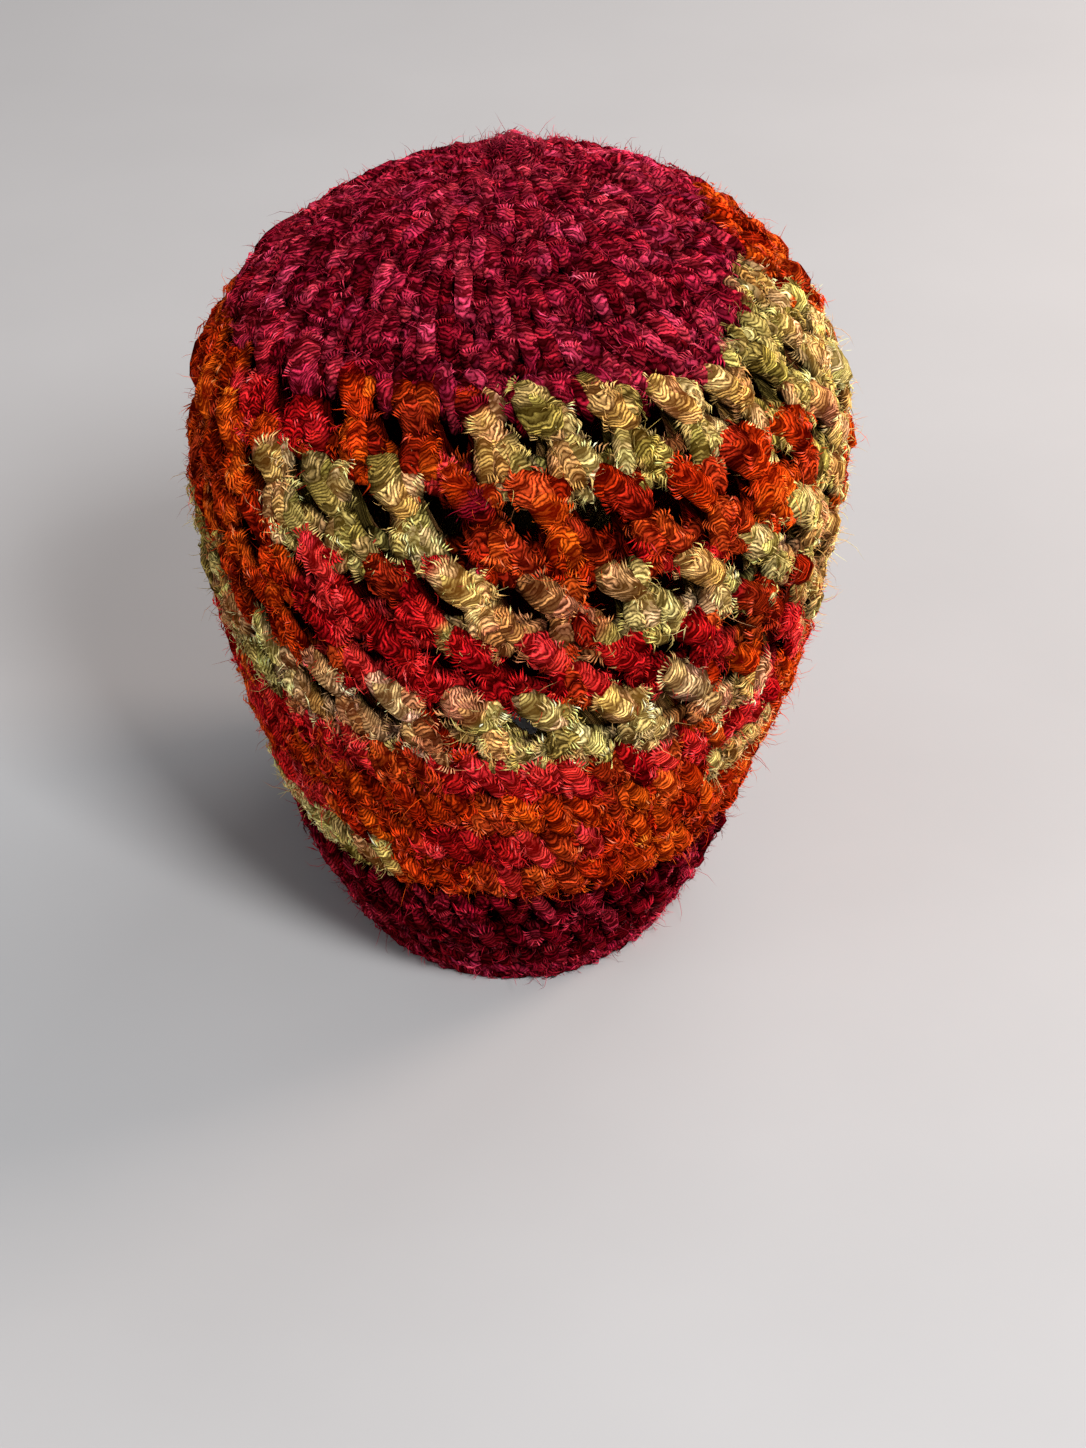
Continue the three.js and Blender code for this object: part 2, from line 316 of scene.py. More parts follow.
GROUP_SPREAD = (0.035, 0.045, 0.35)
GROUP_NUDGE = (0.03, 0.04, 0.25)
GROUP_SWELL = (0.93, 1.09)
GROUP_FLAT = 0.72
GROUP_SAMPLES = 8

# Strands of one stitch of the dense rounds, across in stitches. Each round starts a part of a
# stitch later, and its stitches lean and rise and fall a little with the groups above.
CLOSE_STITCHES = 62
CLOSE_STRANDS = (
    (2.75, 1, ((-0.52, -0.24, -1.6), (-0.38, 0.06, 0.3), (-0.12, 0.46, 0.9),
               (0.10, 0.82, 0.2), (0.18, 1.12, -1.4))),
    (2.35, -1, ((0.42, -0.16, -1.8), (0.36, 0.16, -0.1), (0.26, 0.52, 0.3),
                (0.20, 0.84, -0.2), (0.16, 1.10, -1.6))),
    (1.9, 1, ((-0.06, 0.92, -1.5), (0.24, 0.74, 0.1), (0.62, 0.84, 0.1), (0.95, 1.04, -1.5))),
)
CLOSE_SPREAD = (0.07, 0.05, 0.35)
CLOSE_SHIFT = 0.4
CLOSE_LEAN = 0.55
CLOSE_WAVE = 0.9
CLOSE_WAVE_SHIFT = 2.1
STITCH_SAMPLES = 7

# Rounds of the crown: share of the way from its edge to its top, stitches, and how thick their
# strands are against the half thickness in the table of strands. The edge hangs down between the
# groups of the round below. The crown's inner layer has its own heights, face and back.
CROWN_ROUNDS = (
    (0.0, 80, 1.05), (0.135, 75, 1.05), (0.27, 67, 1.05), (0.405, 58, 1.05),
    (0.54, 46, 1.05), (0.67, 35, 0.95), (0.79, 24, 0.85), (0.90, 14, 0.75),
)
CROWN_END = 0.985
CROWN_STRANDS = (
    (2.15, 0.72, ((-0.46, -0.20, -1.7), (-0.38, 0.10, 0.2), (-0.16, 0.44, 0.8),
                  (0.02, 0.76, 0.3), (0.08, 1.08, -1.5))),
    (1.95, -0.72, ((0.42, -0.26, -1.8), (0.38, 0.06, -0.3), (0.27, 0.42, 0.3),
                   (0.12, 0.76, -0.3), (0.05, 1.06, -1.6))),
    (1.45, 0.72, ((-0.10, 0.88, -1.5), (0.16, 0.72, 0.1), (0.52, 0.76, 0.1), (0.84, 0.96, -1.5))),
)
CROWN_SPREAD = (0.09, 0.14, 0.4)
CROWN_SHIFT = 0.37
CROWN_LEAN = 0.35
CROWN_HANG = 3.5
CROWN_SCALLOP = 5.5
CROWN_SHELL_COUNT = 120
CROWN_SHELL_DROP = 0.5
CROWN_SHELL_OUTER = (0, 0.15, 0.3, 0.45, 0.6, 0.75, 0.88, 0.96)
CROWN_SHELL_INNER = (0.96, 0.75, 0.5, 0.25, 0)
SHELL_FACE = 3.6
SHELL_BACK = 5.4

# The knot: where it lies, and for each turn of yarn its reach, height, half thickness and start.
# Each runs a little past a full turn, waves up and down, and faces out and up. It counts as one
# height for the painted shade between strands, and its colour is darkened.
KNOT_PLACE = (-0.8, 28.0, 185.0)
KNOT_TURNS = ((5.4, 0.2, 1.9, 0.0), (3.8, 1.2, 1.8, 2.0), (1.7, 1.9, 1.7, 4.1))
KNOT_SAMPLES = 26
KNOT_OVERLAP = 1.12
KNOT_WAVE = 0.5
KNOT_TILT = 1.2
KNOT_LEVEL = 0.5
KNOT_SHADE = 0.7

# Rounds of the brim: share of the way down, and stitches. They end at the chain edge.
BRIM_ROUNDS = ((0.0, 38), (0.38, 44), (0.70, 50))
BRIM_STRANDS = (
    (2.3, 1, ((-0.42, -0.14, -1.7), (-0.34, 0.18, -0.2), (-0.12, 0.52, 0.5),
              (0.02, 0.86, -0.3), (0.04, 1.08, -1.6))),
    (2.2, -1, ((0.40, -0.10, -1.8), (0.36, 0.20, -0.4), (0.20, 0.52, 0.2),
               (0.10, 0.84, -0.4), (0.08, 1.06, -1.7))),
    (1.8, 1, ((0.06, 0.86, -1.6), (0.28, 1.02, -0.6), (0.62, 1.00, -0.5), (0.92, 0.88, -1.6))),
)
BRIM_SPREAD = (0.05, 0.05, 0.25)
BRIM_SHIFT = 0.41
BRIM_LEAN = 0.25
BRIM_FOOT = 4.0
BRIM_SHELL_FOOT = 4.2
BRIM_SHELL_RISE = 0.8
BRIM_SHELL_STEPS = 6

# The chain edge: loops in each row, where a loop starts and stops in loops, how far it bows out,
# how high it sits for its thickness, and how far it strays along, up and out. Then for each row
# the height at both ends, how far out of the surface, and the half thickness.
EDGE_LOOPS = 62
LOOP_START = -0.2
LOOP_STOP = 1.35
LOOP_BOW = 1.1
LOOP_SAMPLES = 8
LOOP_SEAT = 1.05
LOOP_STRAY = (0.04, 0.12, 0.15)
EDGE_ROWS = ((5.6, 4.4, -0.9, 1.6), (2.0, 1.5, -0.9, 1.6), (1.6, 1.6, -3.6, 1.55))

# Noise that leads the drawn threads astray: scale, detail, and how far, in threads or for the sway
# in turns round the strand. The grain is that of each thread.
WANDER = (170, 2.0, 2.6)
SWAY = (95, 1.0, 0.35)
FRIZZ = (620, 1.0, 1.1)
GRAIN = (1700, 3.0)

# The drawn threads: how far the ridge of a strand is rounded, how the cells of bunches lie round
# and along it and how large they are, how far bunches tilt and shift, how sharp a thread's ridge
# is, and how its streaks lie round and along, between threads, and how fine they are.
CREST_ROUNDING = 0.05
CELL_ROUND = 13.7
CELL_ALONG = 0.69
CELL_SIZE = (5.5, 5.0)
CELL_TILT = 0.8
CELL_SHIFT = 3.0
RIDGE_POWER = 2.2
STREAK_ROUND = 3.0
STREAK_ALONG = 0.28
STREAK_APART = 5.3
STREAK_SCALE = 1.4
# Painted shade between the threads: the share of the dye squared that is left there.
GROOVE_SHADE = 0.13
GRAIN_RELIEF = 0.45
RELIEF = 0.0006

# Lights: name, place, share of the key light's power, size and colour.
LIGHT_TARGET = (0, 0, 0.1)
WHITE = (1, 1, 1)
LIGHTS = (
    ("Key light", (0.5, -1.05, 1.2), 1.0, 0.45, WHITE),
    ("Fill light", (-1.1, -0.7, 0.6), 0.14, 0.8, WHITE),
    ("Warm side light", (0.95, 0.45, 0.5), 0.4, 0.4, (1.0, 0.82, 0.72)),
    ("Back light", (0.55, 0.95, 0.9), 0.25, 0.7, WHITE),
)
STUDIO_COLOUR = (0.92, 0.94, 1.0, 1)
STUDIO_STRENGTH = 0.2

# The photograph: its size in pixels, pixels to a millimetre at the cap, and the pixel where the
# camera's target lies. The camera's distance, its reach and the target's height are in metres, and
# the sensor is in millimetres.
PHOTO_WIDTH = 1086
PHOTO_HEIGHT = 1448
PHOTO_SCALE = 3.861
TARGET_PIXEL = (518, 533.8)
TARGET_HEIGHT = 0.09
CAMERA_DISTANCE = 1.2
SENSOR = 36
CLIP_END = 50
MM_PER_M = 1000


def between(a, b, c, d, f):
    """Smooth value a share f of the way from b to c, with a before and d after them."""
    square = (2 * a - 5 * b + 4 * c - d) * f ** 2
    cube = (3 * b - a - 3 * c + d) * f ** 3
    return 0.5 * (2 * b + (c - a) * f + square + cube)


def column(which, t):
    """Value of a column of the sections at t, counted in sections from the rim."""
    values = SECTIONS[:, which]
    padded = np.concatenate([[2 * values[0] - values[1]], values, [2 * values[-1] - values[-2]]])
    i = np.clip(np.floor(t).astype(int), 0, LAST - 1)
    return between(padded[i], padded[i + 1], padded[i + 2], padded[i + 3], t - i)


LADDER = np.linspace(0, LAST, LADDER_COUNT)
LADDER_Z = np.maximum.accumulate(column(HEIGHT, LADDER))


def section_at(z):
    """The t at which the surface has height z; below the rim and above the top it stays there."""
    return np.interp(z, LADDER_Z, LADDER)


def smooth(angle, t):
    """Points of the smooth outer surface in millimetres."""
    a = np.radians(angle)
    x = column(RIGHT, t) + column(WIDE, t) * np.sin(a)
    y = column(BACK, t) - column(DEEP, t) * np.cos(a)
    return np.stack([x, y, column(HEIGHT, t)], -1)


def unit(v):
    """The same directions, one long."""
    return v / np.maximum(np.linalg.norm(v, axis=-1, keepdims=True), 1e-9)


def wrapped(angle):
    """The same angle, between -180 and 180 degrees."""
    return (angle + 180) % 360 - 180


def skin(angle, t, out):
    """Points that stand out from the surface by a distance, and the surface's normals there."""
    t = np.minimum(t, LAST - TOP_MARGIN)
    point = smooth(angle, t)
    around = smooth(angle + ANGLE_STEP, t) - smooth(angle - ANGLE_STEP, t)
    up = smooth(angle, t + SECTION_STEP) - smooth(angle, t - SECTION_STEP)
    normal = unit(np.cross(around, up))
    radius = (column(WIDE, t) + column(DEEP, t)) / 2
    depth = np.zeros_like(radius)
    for fold_angle, z, reach, rise, deep in FOLDS:
        across = np.radians(wrapped(angle - fold_angle)) * radius / reach
        depth += deep * np.exp(-across ** 2 - ((point[..., 2] - z) / rise) ** 2)
    return point + normal * (out - depth)[..., None], normal


def angle_of(place):
    """Angle of a place round the cap, counted in groups."""
    return FIRST_GAP + place * 360 / GROUPS


def line_height(number, angle):
    """Height of the line between two rounds, without its zigzag."""
    z, drop = LINES[number]
    return z - drop * (1 - np.maximum(0, np.cos(np.radians(angle))))


def bend(points, samples):
    """Smooth curves through control points: points is (strands, controls, values)."""
    count = points.shape[1]
    first = 2 * points[:, :1] - points[:, 1:2]
    last = 2 * points[:, -1:] - points[:, -2:-1]
    padded = np.concatenate([first, points, last], 1)
    t = np.linspace(0, count - 1, samples)
    i = np.clip(np.floor(t).astype(int), 0, count - 2)
    a, b, c, d = (padded[:, i + k] for k in range(4))
    return between(a, b, c, d, (t - i)[None, :, None])


def lumps(points):
    """Small uneven swells of soft yarn, between about -1 and 1."""
    x, y, z = points[..., 0], points[..., 1], points[..., 2]
    first = np.sin(1.31 * x + 0.47 * y - 0.83 * z) * np.sin(0.52 * x - 1.17 * y + 0.71 * z)
    second = np.sin(-2.3 * x + 1.1 * y + 1.9 * z + 1.3) * np.sin(1.2 * x + 2.1 * y - 1.7 * z)
    return 0.65 * first + 0.45 * second


def light_at(level, rule):
    """Share of the light that reaches a height between the strands."""
    darkest, gain, low, span, power = rule
    return darkest + gain * np.clip((level - low) / span, 0, 1) ** power


def three_ways(heading, random):
    """Three directions across each heading, a third of a turn apart."""
    side = unit(np.cross(heading, unit(random.normal(size=heading.shape))))
    other = unit(np.cross(heading, side))
    return [math.cos(a) * side + math.sin(a) * other for a in THIRDS]


def strand_faces(samples, sides):
    """Faces of one closed strand: quads between its rings, and a cone of triangles at each end."""
    ring = np.arange(samples - 1)[:, None] * sides
    j = np.arange(sides)
    k = (j + 1) % sides
    quads = np.stack([ring + j, ring + k, ring + sides + k, ring + sides + j], -1)
    last = (samples - 1) * sides
    head = np.stack([np.full(sides, samples * sides), k, j], -1)
    tail = np.stack([np.full(sides, samples * sides + 1), last + j, last + k], -1)
    return quads.reshape(-1, 4), np.concatenate([head, tail])


def strip_map(values, sides):
    """Corners of the strands' quads: a share of the way round, and the values along each strand."""
    count, samples = values.shape
    low = np.broadcast_to(np.arange(sides) / sides, (count, samples - 1, sides))
    high = low + 1 / sides
    start = np.broadcast_to(values[:, :-1, None], low.shape)
    stop = np.broadcast_to(values[:, 1:, None], low.shape)
    corners = [np.stack(pair, -1) for pair in ((low, start), (high, start), (high, stop), (low, stop))]
    return np.stack(corners, -2).reshape(count, -1, 2)


def cone_map(tip, edge, sides, flipped):
    """Corners of the triangles at one end of each strand."""
    low = np.broadcast_to(np.arange(sides) / sides, (len(edge), sides))
    high = low + 1 / sides
    tip, edge = np.broadcast_to(tip, low.shape), np.broadcast_to(edge, low.shape)
    corners = [np.stack(pair, -1) for pair in (((low + high) / 2, tip), (low, edge), (high, edge))]
    if flipped:
        corners = [corners[0], corners[2], corners[1]]
    return np.stack(corners, -2).reshape(len(edge), -1, 2)


def ends_map(values, past, sides):
    """Corners of the triangles at both ends, whose tips lie past the first and the last value."""
    head = cone_map(values[:, :1] - past, values[:, :1], sides, True)
    tail = cone_map(values[:, -1:] + past, values[:, -1:], sides, False)
    return np.concatenate([head, tail], 1)


def ladder_cells(rungs):
    """Corners of the quads up the three sides of a fibre, in shares of its sides and its rungs."""
    cells = []
    for i in range(rungs - 1):
        low, high = i / rungs, (i + 1) / rungs
        for j in range(3):
            cells += [(j / 3, low), ((j + 1) / 3, low), ((j + 1) / 3, high), (j / 3, high)]
    return np.array(cells)


class Yarn:
    """Strands, shells and fibres gathered for one mesh."""

    def __init__(self, seed):
        self.random = np.random.default_rng(seed)
        self.points = []
        self.colours = []
        self.quads = []
        self.triangles = []
        self.thread_uv = []
        self.cells = []
        self.kinds = []
        self.total = 0
        self.roots = {"place": [], "away": [], "normal": [], "colour": [], "branch": []}

    def add(self, kind, count, points, colour, quads, triangles, threads, cells):
        """Adds parts of one kind: count copies of the faces, and the two maps of their corners."""
        block = len(points) // count
        base = self.total + np.arange(count)[:, None, None] * block
        self.points.append(points)
        self.colours.append(colour)
        self.quads.append((quads[None] + base).reshape(-1, 4))
        self.triangles.append((triangles[None] + base).reshape(-1, 3))
        self.thread_uv.append([part.reshape(-1, 2) for part in threads])
        self.cells.append((count,) + cells)
        self.kinds.append((kind, count * len(quads), count * len(triangles)))
        self.total += len(points)

    def strands(self, centre, normal, radius, colour, height, lay, sides, flat=STRAND_FLAT):
        """Adds closed strands: centre and normal are (strands, samples, 3), the rest (strands, samples)."""
        count, samples = radius.shape
        tangent = unit(np.gradient(centre, axis=1))
        across = unit(np.cross(tangent, normal))
        out = unit(np.cross(across, tangent))
        turn = np.linspace(0, 2 * np.pi, sides, endpoint=False) - np.pi / 2
        spin = np.cos(turn)[None, None, :, None] * across[:, :, None]
        rise = np.sin(turn)[None, None, :, None] * out[:, :, None]
        away = unit(spin / STRAND_WIDTH + rise / flat)
        ring = centre[:, :, None] + radius[..., None, None] * (spin * STRAND_WIDTH + rise * flat)
        ring = ring + away * (lumps(ring) * LUMPS)[..., None] * radius[..., None, None]
        ring[..., 2] = np.maximum(ring[..., 2], STRAND_CLEARANCE)
        # Painted shade: the colour darkens with a point's height, deepest down between the strands.
        level = height[..., None] + radius[..., None] * flat * np.sin(turn)
        shade = colour[:, :, None] * light_at(level, PIT_LIGHT)[..., None]
        first = centre[:, 0] - tangent[:, 0] * radius[:, :1] * TIP_REACH
        last = centre[:, -1] + tangent[:, -1] * radius[:, -1:] * TIP_REACH
        points = np.concatenate([ring.reshape(count, -1, 3), np.stack([first, last], 1)], 1)
        # Painted shade on both tips, where the strand goes under.
        ends = np.stack([colour[:, 0], colour[:, -1]], 1) * TIP_SHADE
        shades = np.concatenate([shade.reshape(count, -1, 3), ends], 1)
        threads, cells = self.strand_maps(centre, lay, sides, radius.mean() / FULL_STRAND)
        quads, triangles = strand_faces(samples, sides)
        flat_points, flat_shades = points.reshape(-1, 3), shades.reshape(-1, 3)
        self.add(STRAND, count, flat_points, flat_shades, quads, triangles, threads, cells)
        top = np.broadcast_to(np.sin(turn) > ROOT_SIDE, (count, samples, sides)) & (level > ROOT_HEIGHT)
        top[:, (0, -1)] = False
        facing = np.broadcast_to(normal[:, :, None], ring.shape)
        down = away * np.sum(away * facing, -1, keepdims=True) - facing
        down = down / np.maximum(np.linalg.norm(down, axis=-1, keepdims=True), LEAST_SLOPE)
        # Roots keep a softer painted shade by height, so threads rooted low come out darker.
        found = {
            "place": ring,
            "away": away,
            "normal": facing,
            "colour": colour[:, :, None] * light_at(level, ROOT_LIGHT)[..., None],
            "branch": unit(down * BRANCH_DOWN - tangent[:, :, None] * BRANCH_BACK * lay),
        }
        for name, values in found.items():
            self.roots[name].append(values[top])

    def strand_maps(self, centre, lay, sides, width):
        """The two maps of strands: millimetres along with a share of the threads, and their cells."""
        count = len(centre)
        steps = np.linalg.norm(np.diff(centre, axis=1), axis=-1)
        length = np.concatenate([np.zeros((count, 1)), np.cumsum(steps, 1)], 1)
        along = (length + self.random.uniform(0, 60, count)[:, None]) * lay
        share = length / np.maximum(length[:, -1:], 1e-6)
        threads = [strip_map(along, sides), ends_map(along, lay, sides)]
        for part in threads:
            part[..., 0] = 0.5 + (part[..., 0] - 0.5) * width
        return threads, (strip_map(share, sides), ends_map(share, 0.05, sides))

    def pick(self, amount):
        """Random roots for fibres, by name as the strands left them."""
        pools = {name: np.concatenate(values) for name, values in self.roots.items()}
        index = self.random.integers(0, len(pools["place"]), amount)
        return {name: pool[index] for name, pool in pools.items()}

    def bunches(self, amount):
        """Bunches of threads that fan out over the strands, each from one root."""
        random = self.random
        root = self.pick(amount)
        away = root["away"]
        branch = unit(root["branch"] + random.normal(0, BRANCH_STRAY, (amount, 3)))
        branch = unit(branch - away * np.sum(branch * away, -1, keepdims=True))
        side = np.cross(away, branch)
        each = (amount, BUNCH_THREADS)
        fan = np.linspace(-1, 1, BUNCH_THREADS) * random.uniform(*BUNCH_FAN, (amount, 1))
        fan = (fan + random.normal(0, FAN_STRAY, each))[..., None]
        size = random.uniform(*BUNCH_LENGTH, (amount, 1, 1)) * random.uniform(*THREAD_LENGTH, each + (1,))
        heading = np.cos(fan) * branch[:, None] + np.sin(fan) * side[:, None]
        across = np.linspace(-BUNCH_HALF_WIDTH, BUNCH_HALF_WIDTH, BUNCH_THREADS)
        start = root["place"][:, None] + side[:, None] * across[None, :, None]
        out = away[:, None]
        lift = random.uniform(*BUNCH_LIFT, each + (1,))
        bent = random.normal(0, BUNCH_CURL, (amount, 1, 1)) + fan * FAN_CURL
        curl = side[:, None] * bent * size
        middle = start + heading * size * 0.5 + out * (lift - MIDDLE_SINK * size ** 2)
        end = start + heading * size + curl + out * (lift * 0.5 - END_SINK * size ** 2)
        path = np.stack([start - out * BUNCH_ROOT, middle, end], 2)
        light = root["colour"][:, None] * random.uniform(*BUNCH_LIGHT, (amount, 1, 1))
        light = light * random.uniform(*THREAD_LIGHT, each + (1,))
        light = light * (1 + random.uniform(-1, 1, (amount, 1, 3)) * np.array(HUE_STRAY))
        # Painted glints: a share of the threads are brightened and whitened as painted highlights.
        glint = random.uniform(0, 1, each + (1,)) < GLINT_CHANCE
        pale = light * GLINT_GAIN + light.max(-1, keepdims=True) * np.array(GLINT_WHITE)
        light = np.clip(np.where(glint, pale, light), 0, 1)
        self.spindles(path.reshape(-1, 3, 3), BUNCH_WIDTH, light.reshape(-1, 3))

    def loose_fibres(self, amount, shortest, longest, thick, curled):
        """Fibres that stray from the yarn, which make its haze; the curled ones bend back at the end."""
        random = self.random
        root = self.pick(amount)
        size = shortest + (longest - shortest) * random.uniform(0, 1, (amount, 1)) ** 2
        stray = unit(random.normal(size=(amount, 3)))
        away, outward, astray = FIBRE_HEADING
        heading = unit(root["away"] * away + root["normal"] * outward + stray * astray)
        curl = unit(np.cross(heading, unit(random.normal(size=(amount, 3)))))
        bow = random.uniform(*FIBRE_BOW, (amount, 1))
        light = np.clip(root["colour"] * random.uniform(*FIBRE_LIGHT, (amount, 1)), 0, 1)
        bends = [root["place"] + heading * size * on + curl * size * bow * aside
                 for on, aside in FIBRE_BENDS]
        path = np.stack([root["place"] - root["away"] * FIBRE_ROOT] + bends, 1)
        if curled:
            self.spikes(path, thick, light)
        else:
            self.spindles(path[:, :3], thick, light)

    def spikes(self, path, width, colour):
        """Adds closed three-sided fibres along paths of (fibres, levels, 3)."""
        amount, levels = path.shape[:2]
        rings = levels - 1
        corner = np.stack(three_ways(unit(path[:, -1] - path[:, 0]), self.random), 1)
        taper = width * np.linspace(1.0, FIBRE_TAPER, rings)
        ring = path[:, :rings, None] + taper[None, :, None, None] * corner[:, None]
        points = np.concatenate([ring.reshape(amount, rings * 3, 3), path[:, -1:]], 1)
        points[..., 2] = np.maximum(points[..., 2], FIBRE_CLEARANCE)
        quads, triangles = [], []
        top = 3 * rings - 3
        for j in range(3):
            k = (j + 1) % 3
            quads.append([(3 * i + j, 3 * i + k, 3 * i + 3 + k, 3 * i + 3 + j) for i in range(rings - 1)])
            triangles.append((top + j, top + k, 3 * rings))
        quads = np.array(quads).transpose(1, 0, 2).reshape(-1, 4)
        triangles = np.array(triangles + [(2, 1, 0)])
        low = 1 - 1 / rings
        tips = [((j / 3, low), ((j + 1) / 3, low), ((j + 0.5) / 3, 1)) for j in range(3)]
        tips = np.array(tips + [((0.7, 1), (0.8, 1), (0.75, 0.95))]).reshape(-1, 2)
        cell = ladder_cells(rings)
        cells = tuple(np.broadcast_to(part, (amount,) + part.shape) for part in (cell, tips))
        threads = [np.zeros((amount * len(part), 2)) for part in (cell, tips)]
        shades = np.repeat(colour, points.shape[1], axis=0)
        self.add(FIBRE, amount, points.reshape(-1, 3), shades, quads, triangles, threads, cells)

    def spindles(self, path, width, colour):
        """Adds closed threads that are thick in the middle and pointed at both ends."""
        amount = len(path)
        corners = three_ways(unit(path[:, 2] - path[:, 0]), self.random)
        ring = [path[:, 1] + width * corner for corner in corners]
        points = np.stack([path[:, 0]] + ring + [path[:, 2]], 1)
        points[..., 2] = np.maximum(points[..., 2], FIBRE_CLEARANCE)
        lower = [(0, 1 + (j + 1) % 3, 1 + j) for j in range(3)]
        upper = [(4, 1 + j, 1 + (j + 1) % 3) for j in range(3)]
        cell = [(((j + 0.5) / 3, 0), ((j + 1) / 3, 0.5), (j / 3, 0.5)) for j in range(3)]
        cell += [(((j + 0.5) / 3, 1), (j / 3, 0.5), ((j + 1) / 3, 0.5)) for j in range(3)]
        cell = np.array(cell).reshape(-1, 2)
        cells = (np.zeros((amount, 0, 2)), np.broadcast_to(cell, (amount,) + cell.shape))
        threads = [np.zeros((0, 2)), np.zeros((amount * len(cell), 2))]
        shades = np.repeat(colour, points.shape[1], axis=0)
        quads, triangles = np.zeros((0, 4), int), np.array(lower + upper)
        self.add(FIBRE, amount, points.reshape(-1, 3), shades, quads, triangles, threads, cells)

    def shell(self, loops, colour, poles=None):
        """Adds a closed shell from loops of points round its section, or between two poles."""
        count = len(loops[0])
        rows = len(loops)
        points = np.concatenate(loops)
        j = np.arange(count)
        k = (j + 1) % count
        left, right = j / count, (j + 1) / count
        quads, cells = [], []
        joined = rows - 1 if poles else rows
        for i in range(joined):
            n = (i + 1) % rows
            quads.append(np.stack([i * count + j, i * count + k, n * count + k, n * count + j], -1))
            low, high = np.full(count, i / joined), np.full(count, (i + 1) / joined)
            pairs = ((left, low), (right, low), (right, high), (left, high))
            corners = [np.stack(pair, -1) for pair in pairs]
            cells.append(np.stack(corners, 1))
        triangles, caps = np.zeros((0, 3), int), np.zeros((0, 2))
        if poles:
            last = (rows - 1) * count
            head = np.stack([np.full(count, rows * count), k, j], -1)
            tail = np.stack([np.full(count, rows * count + 1), last + j, last + k], -1)
            triangles = np.concatenate([head, tail])
            caps = ends_map(np.array([[0.0, 1.0]]), 0.03, count)[0]
            points = np.concatenate([points, np.array(poles)])
            colour = np.concatenate([colour, colour[:2]])
        cell = np.concatenate(cells).reshape(-1, 2)
        size = np.array([SHELL_THREADS, SHELL_THREADS / 4])
        maps = (cell[None], caps[None])
        threads = [part * size for part in maps]
        self.add(SHELL, 1, points, colour, np.concatenate(quads), triangles, threads, maps)

    def build(self, name, materials):
        """Makes the object, in metres, with its colours and its two UV maps."""
        points = np.concatenate(self.points) / MM_PER_M
        quads = np.concatenate(self.quads)
        triangles = np.concatenate(self.triangles)
        mesh = bpy.data.meshes.new(name)
        mesh.vertices.add(len(points))
        mesh.vertices.foreach_set("co", points.astype(np.float32).ravel())
        loops = np.concatenate([quads.ravel(), triangles.ravel()])
        mesh.loops.add(len(loops))
        mesh.loops.foreach_set("vertex_index", loops.astype(np.int32))
        faces = len(quads) + len(triangles)
        mesh.polygons.add(faces)
        starts = np.concatenate([np.arange(len(quads)) * 4, len(quads) * 4 + np.arange(len(triangles)) * 3])
        mesh.polygons.foreach_set("loop_start", starts.astype(np.int32))
        mesh.polygons.foreach_set("use_smooth", np.ones(faces, bool))
        kinds = [np.full(count, kind) for kind, count, _ in self.kinds]
        kinds += [np.full(count, kind) for kind, _, count in self.kinds]
        mesh.polygons.foreach_set("material_index", np.concatenate(kinds).astype(np.int32))
        thread = np.concatenate([part for part, _ in self.thread_uv] + [part for _, part in self.thread_uv])
        for title, uv in (("Thread", thread), ("OFBake", self.atlas())):
            mesh.uv_layers.new(name=title).data.foreach_set("uv", uv.astype(np.float32).ravel())
        # The colour at each point: the dye with painted shade and painted glints in it.
        layer = mesh.color_attributes.new("DyeAndPaintedLight", "FLOAT_COLOR", "POINT")
        colours = np.concatenate(self.colours)
        colours = np.concatenate([colours, np.ones((len(colours), 1))], 1)
        layer.data.foreach_set("color", colours.astype(np.float32).ravel())
        mesh.update()
        mesh.validate()
        for material in materials:
            mesh.materials.append(material)
        piece = bpy.data.objects.new(name, mesh)
        bpy.context.scene.collection.objects.link(piece)
        return piece

    def atlas(self):
        """Packs the strands, the fibres and the shells into cells of their own."""
        quad_parts, triangle_parts = [], []
        totals = [0, 0, 0]
        for (count, _, _), (kind, _, _) in zip(self.cells, self.kinds):
            totals[kind] += count
        used = [0, 0, 0]
        for (count, quads, triangles), (kind, _, _) in zip(self.cells, self.kinds):
            low, high = ATLAS_BANDS[kind]
            tall = high - low
            total = totals[kind]
            rows = total if kind == SHELL else max(1, round(math.sqrt(total * tall / ATLAS_SHAPES[kind])))
            columns = math.ceil(total / rows)
            n = used[kind] + np.arange(count)
            corner = np.stack([(n % columns) / columns, low + (n // columns) / rows * tall], -1)
            cell = np.array([1 / columns, tall / rows])
            for part, store in ((quads, quad_parts), (triangles, triangle_parts)):
                inset = ATLAS_MARGIN + (1 - 2 * ATLAS_MARGIN) * part
                store.append((corner[:, None] + cell * inset).reshape(-1, 2))
            used[kind] += count
        return np.concatenate(quad_parts + triangle_parts)


def dye_at(run, angle, random):
    """The three turns of the dye along strands of a round; a few strands take a mate's dye."""
    ends = np.array([end for end, _ in run])
    names = list(DYES)
    own = np.array([names.index(name) for _, name in run])
    index = own[np.searchsorted(ends, wrapped(angle), side="right").clip(0, len(run) - 1)]
    mates = np.array([[names.index(mate) for mate in MATES[name]] for name in names])
    chance = random.uniform(0, 1, (len(angle), 1))
    other = np.where(chance < ANY_MATE_CHANCE, mates[index, 1], index)
    index = np.where(chance < FIRST_MATE_CHANCE, mates[index, 0], other)
    return np.array([DYES[name] for name in names])[index]


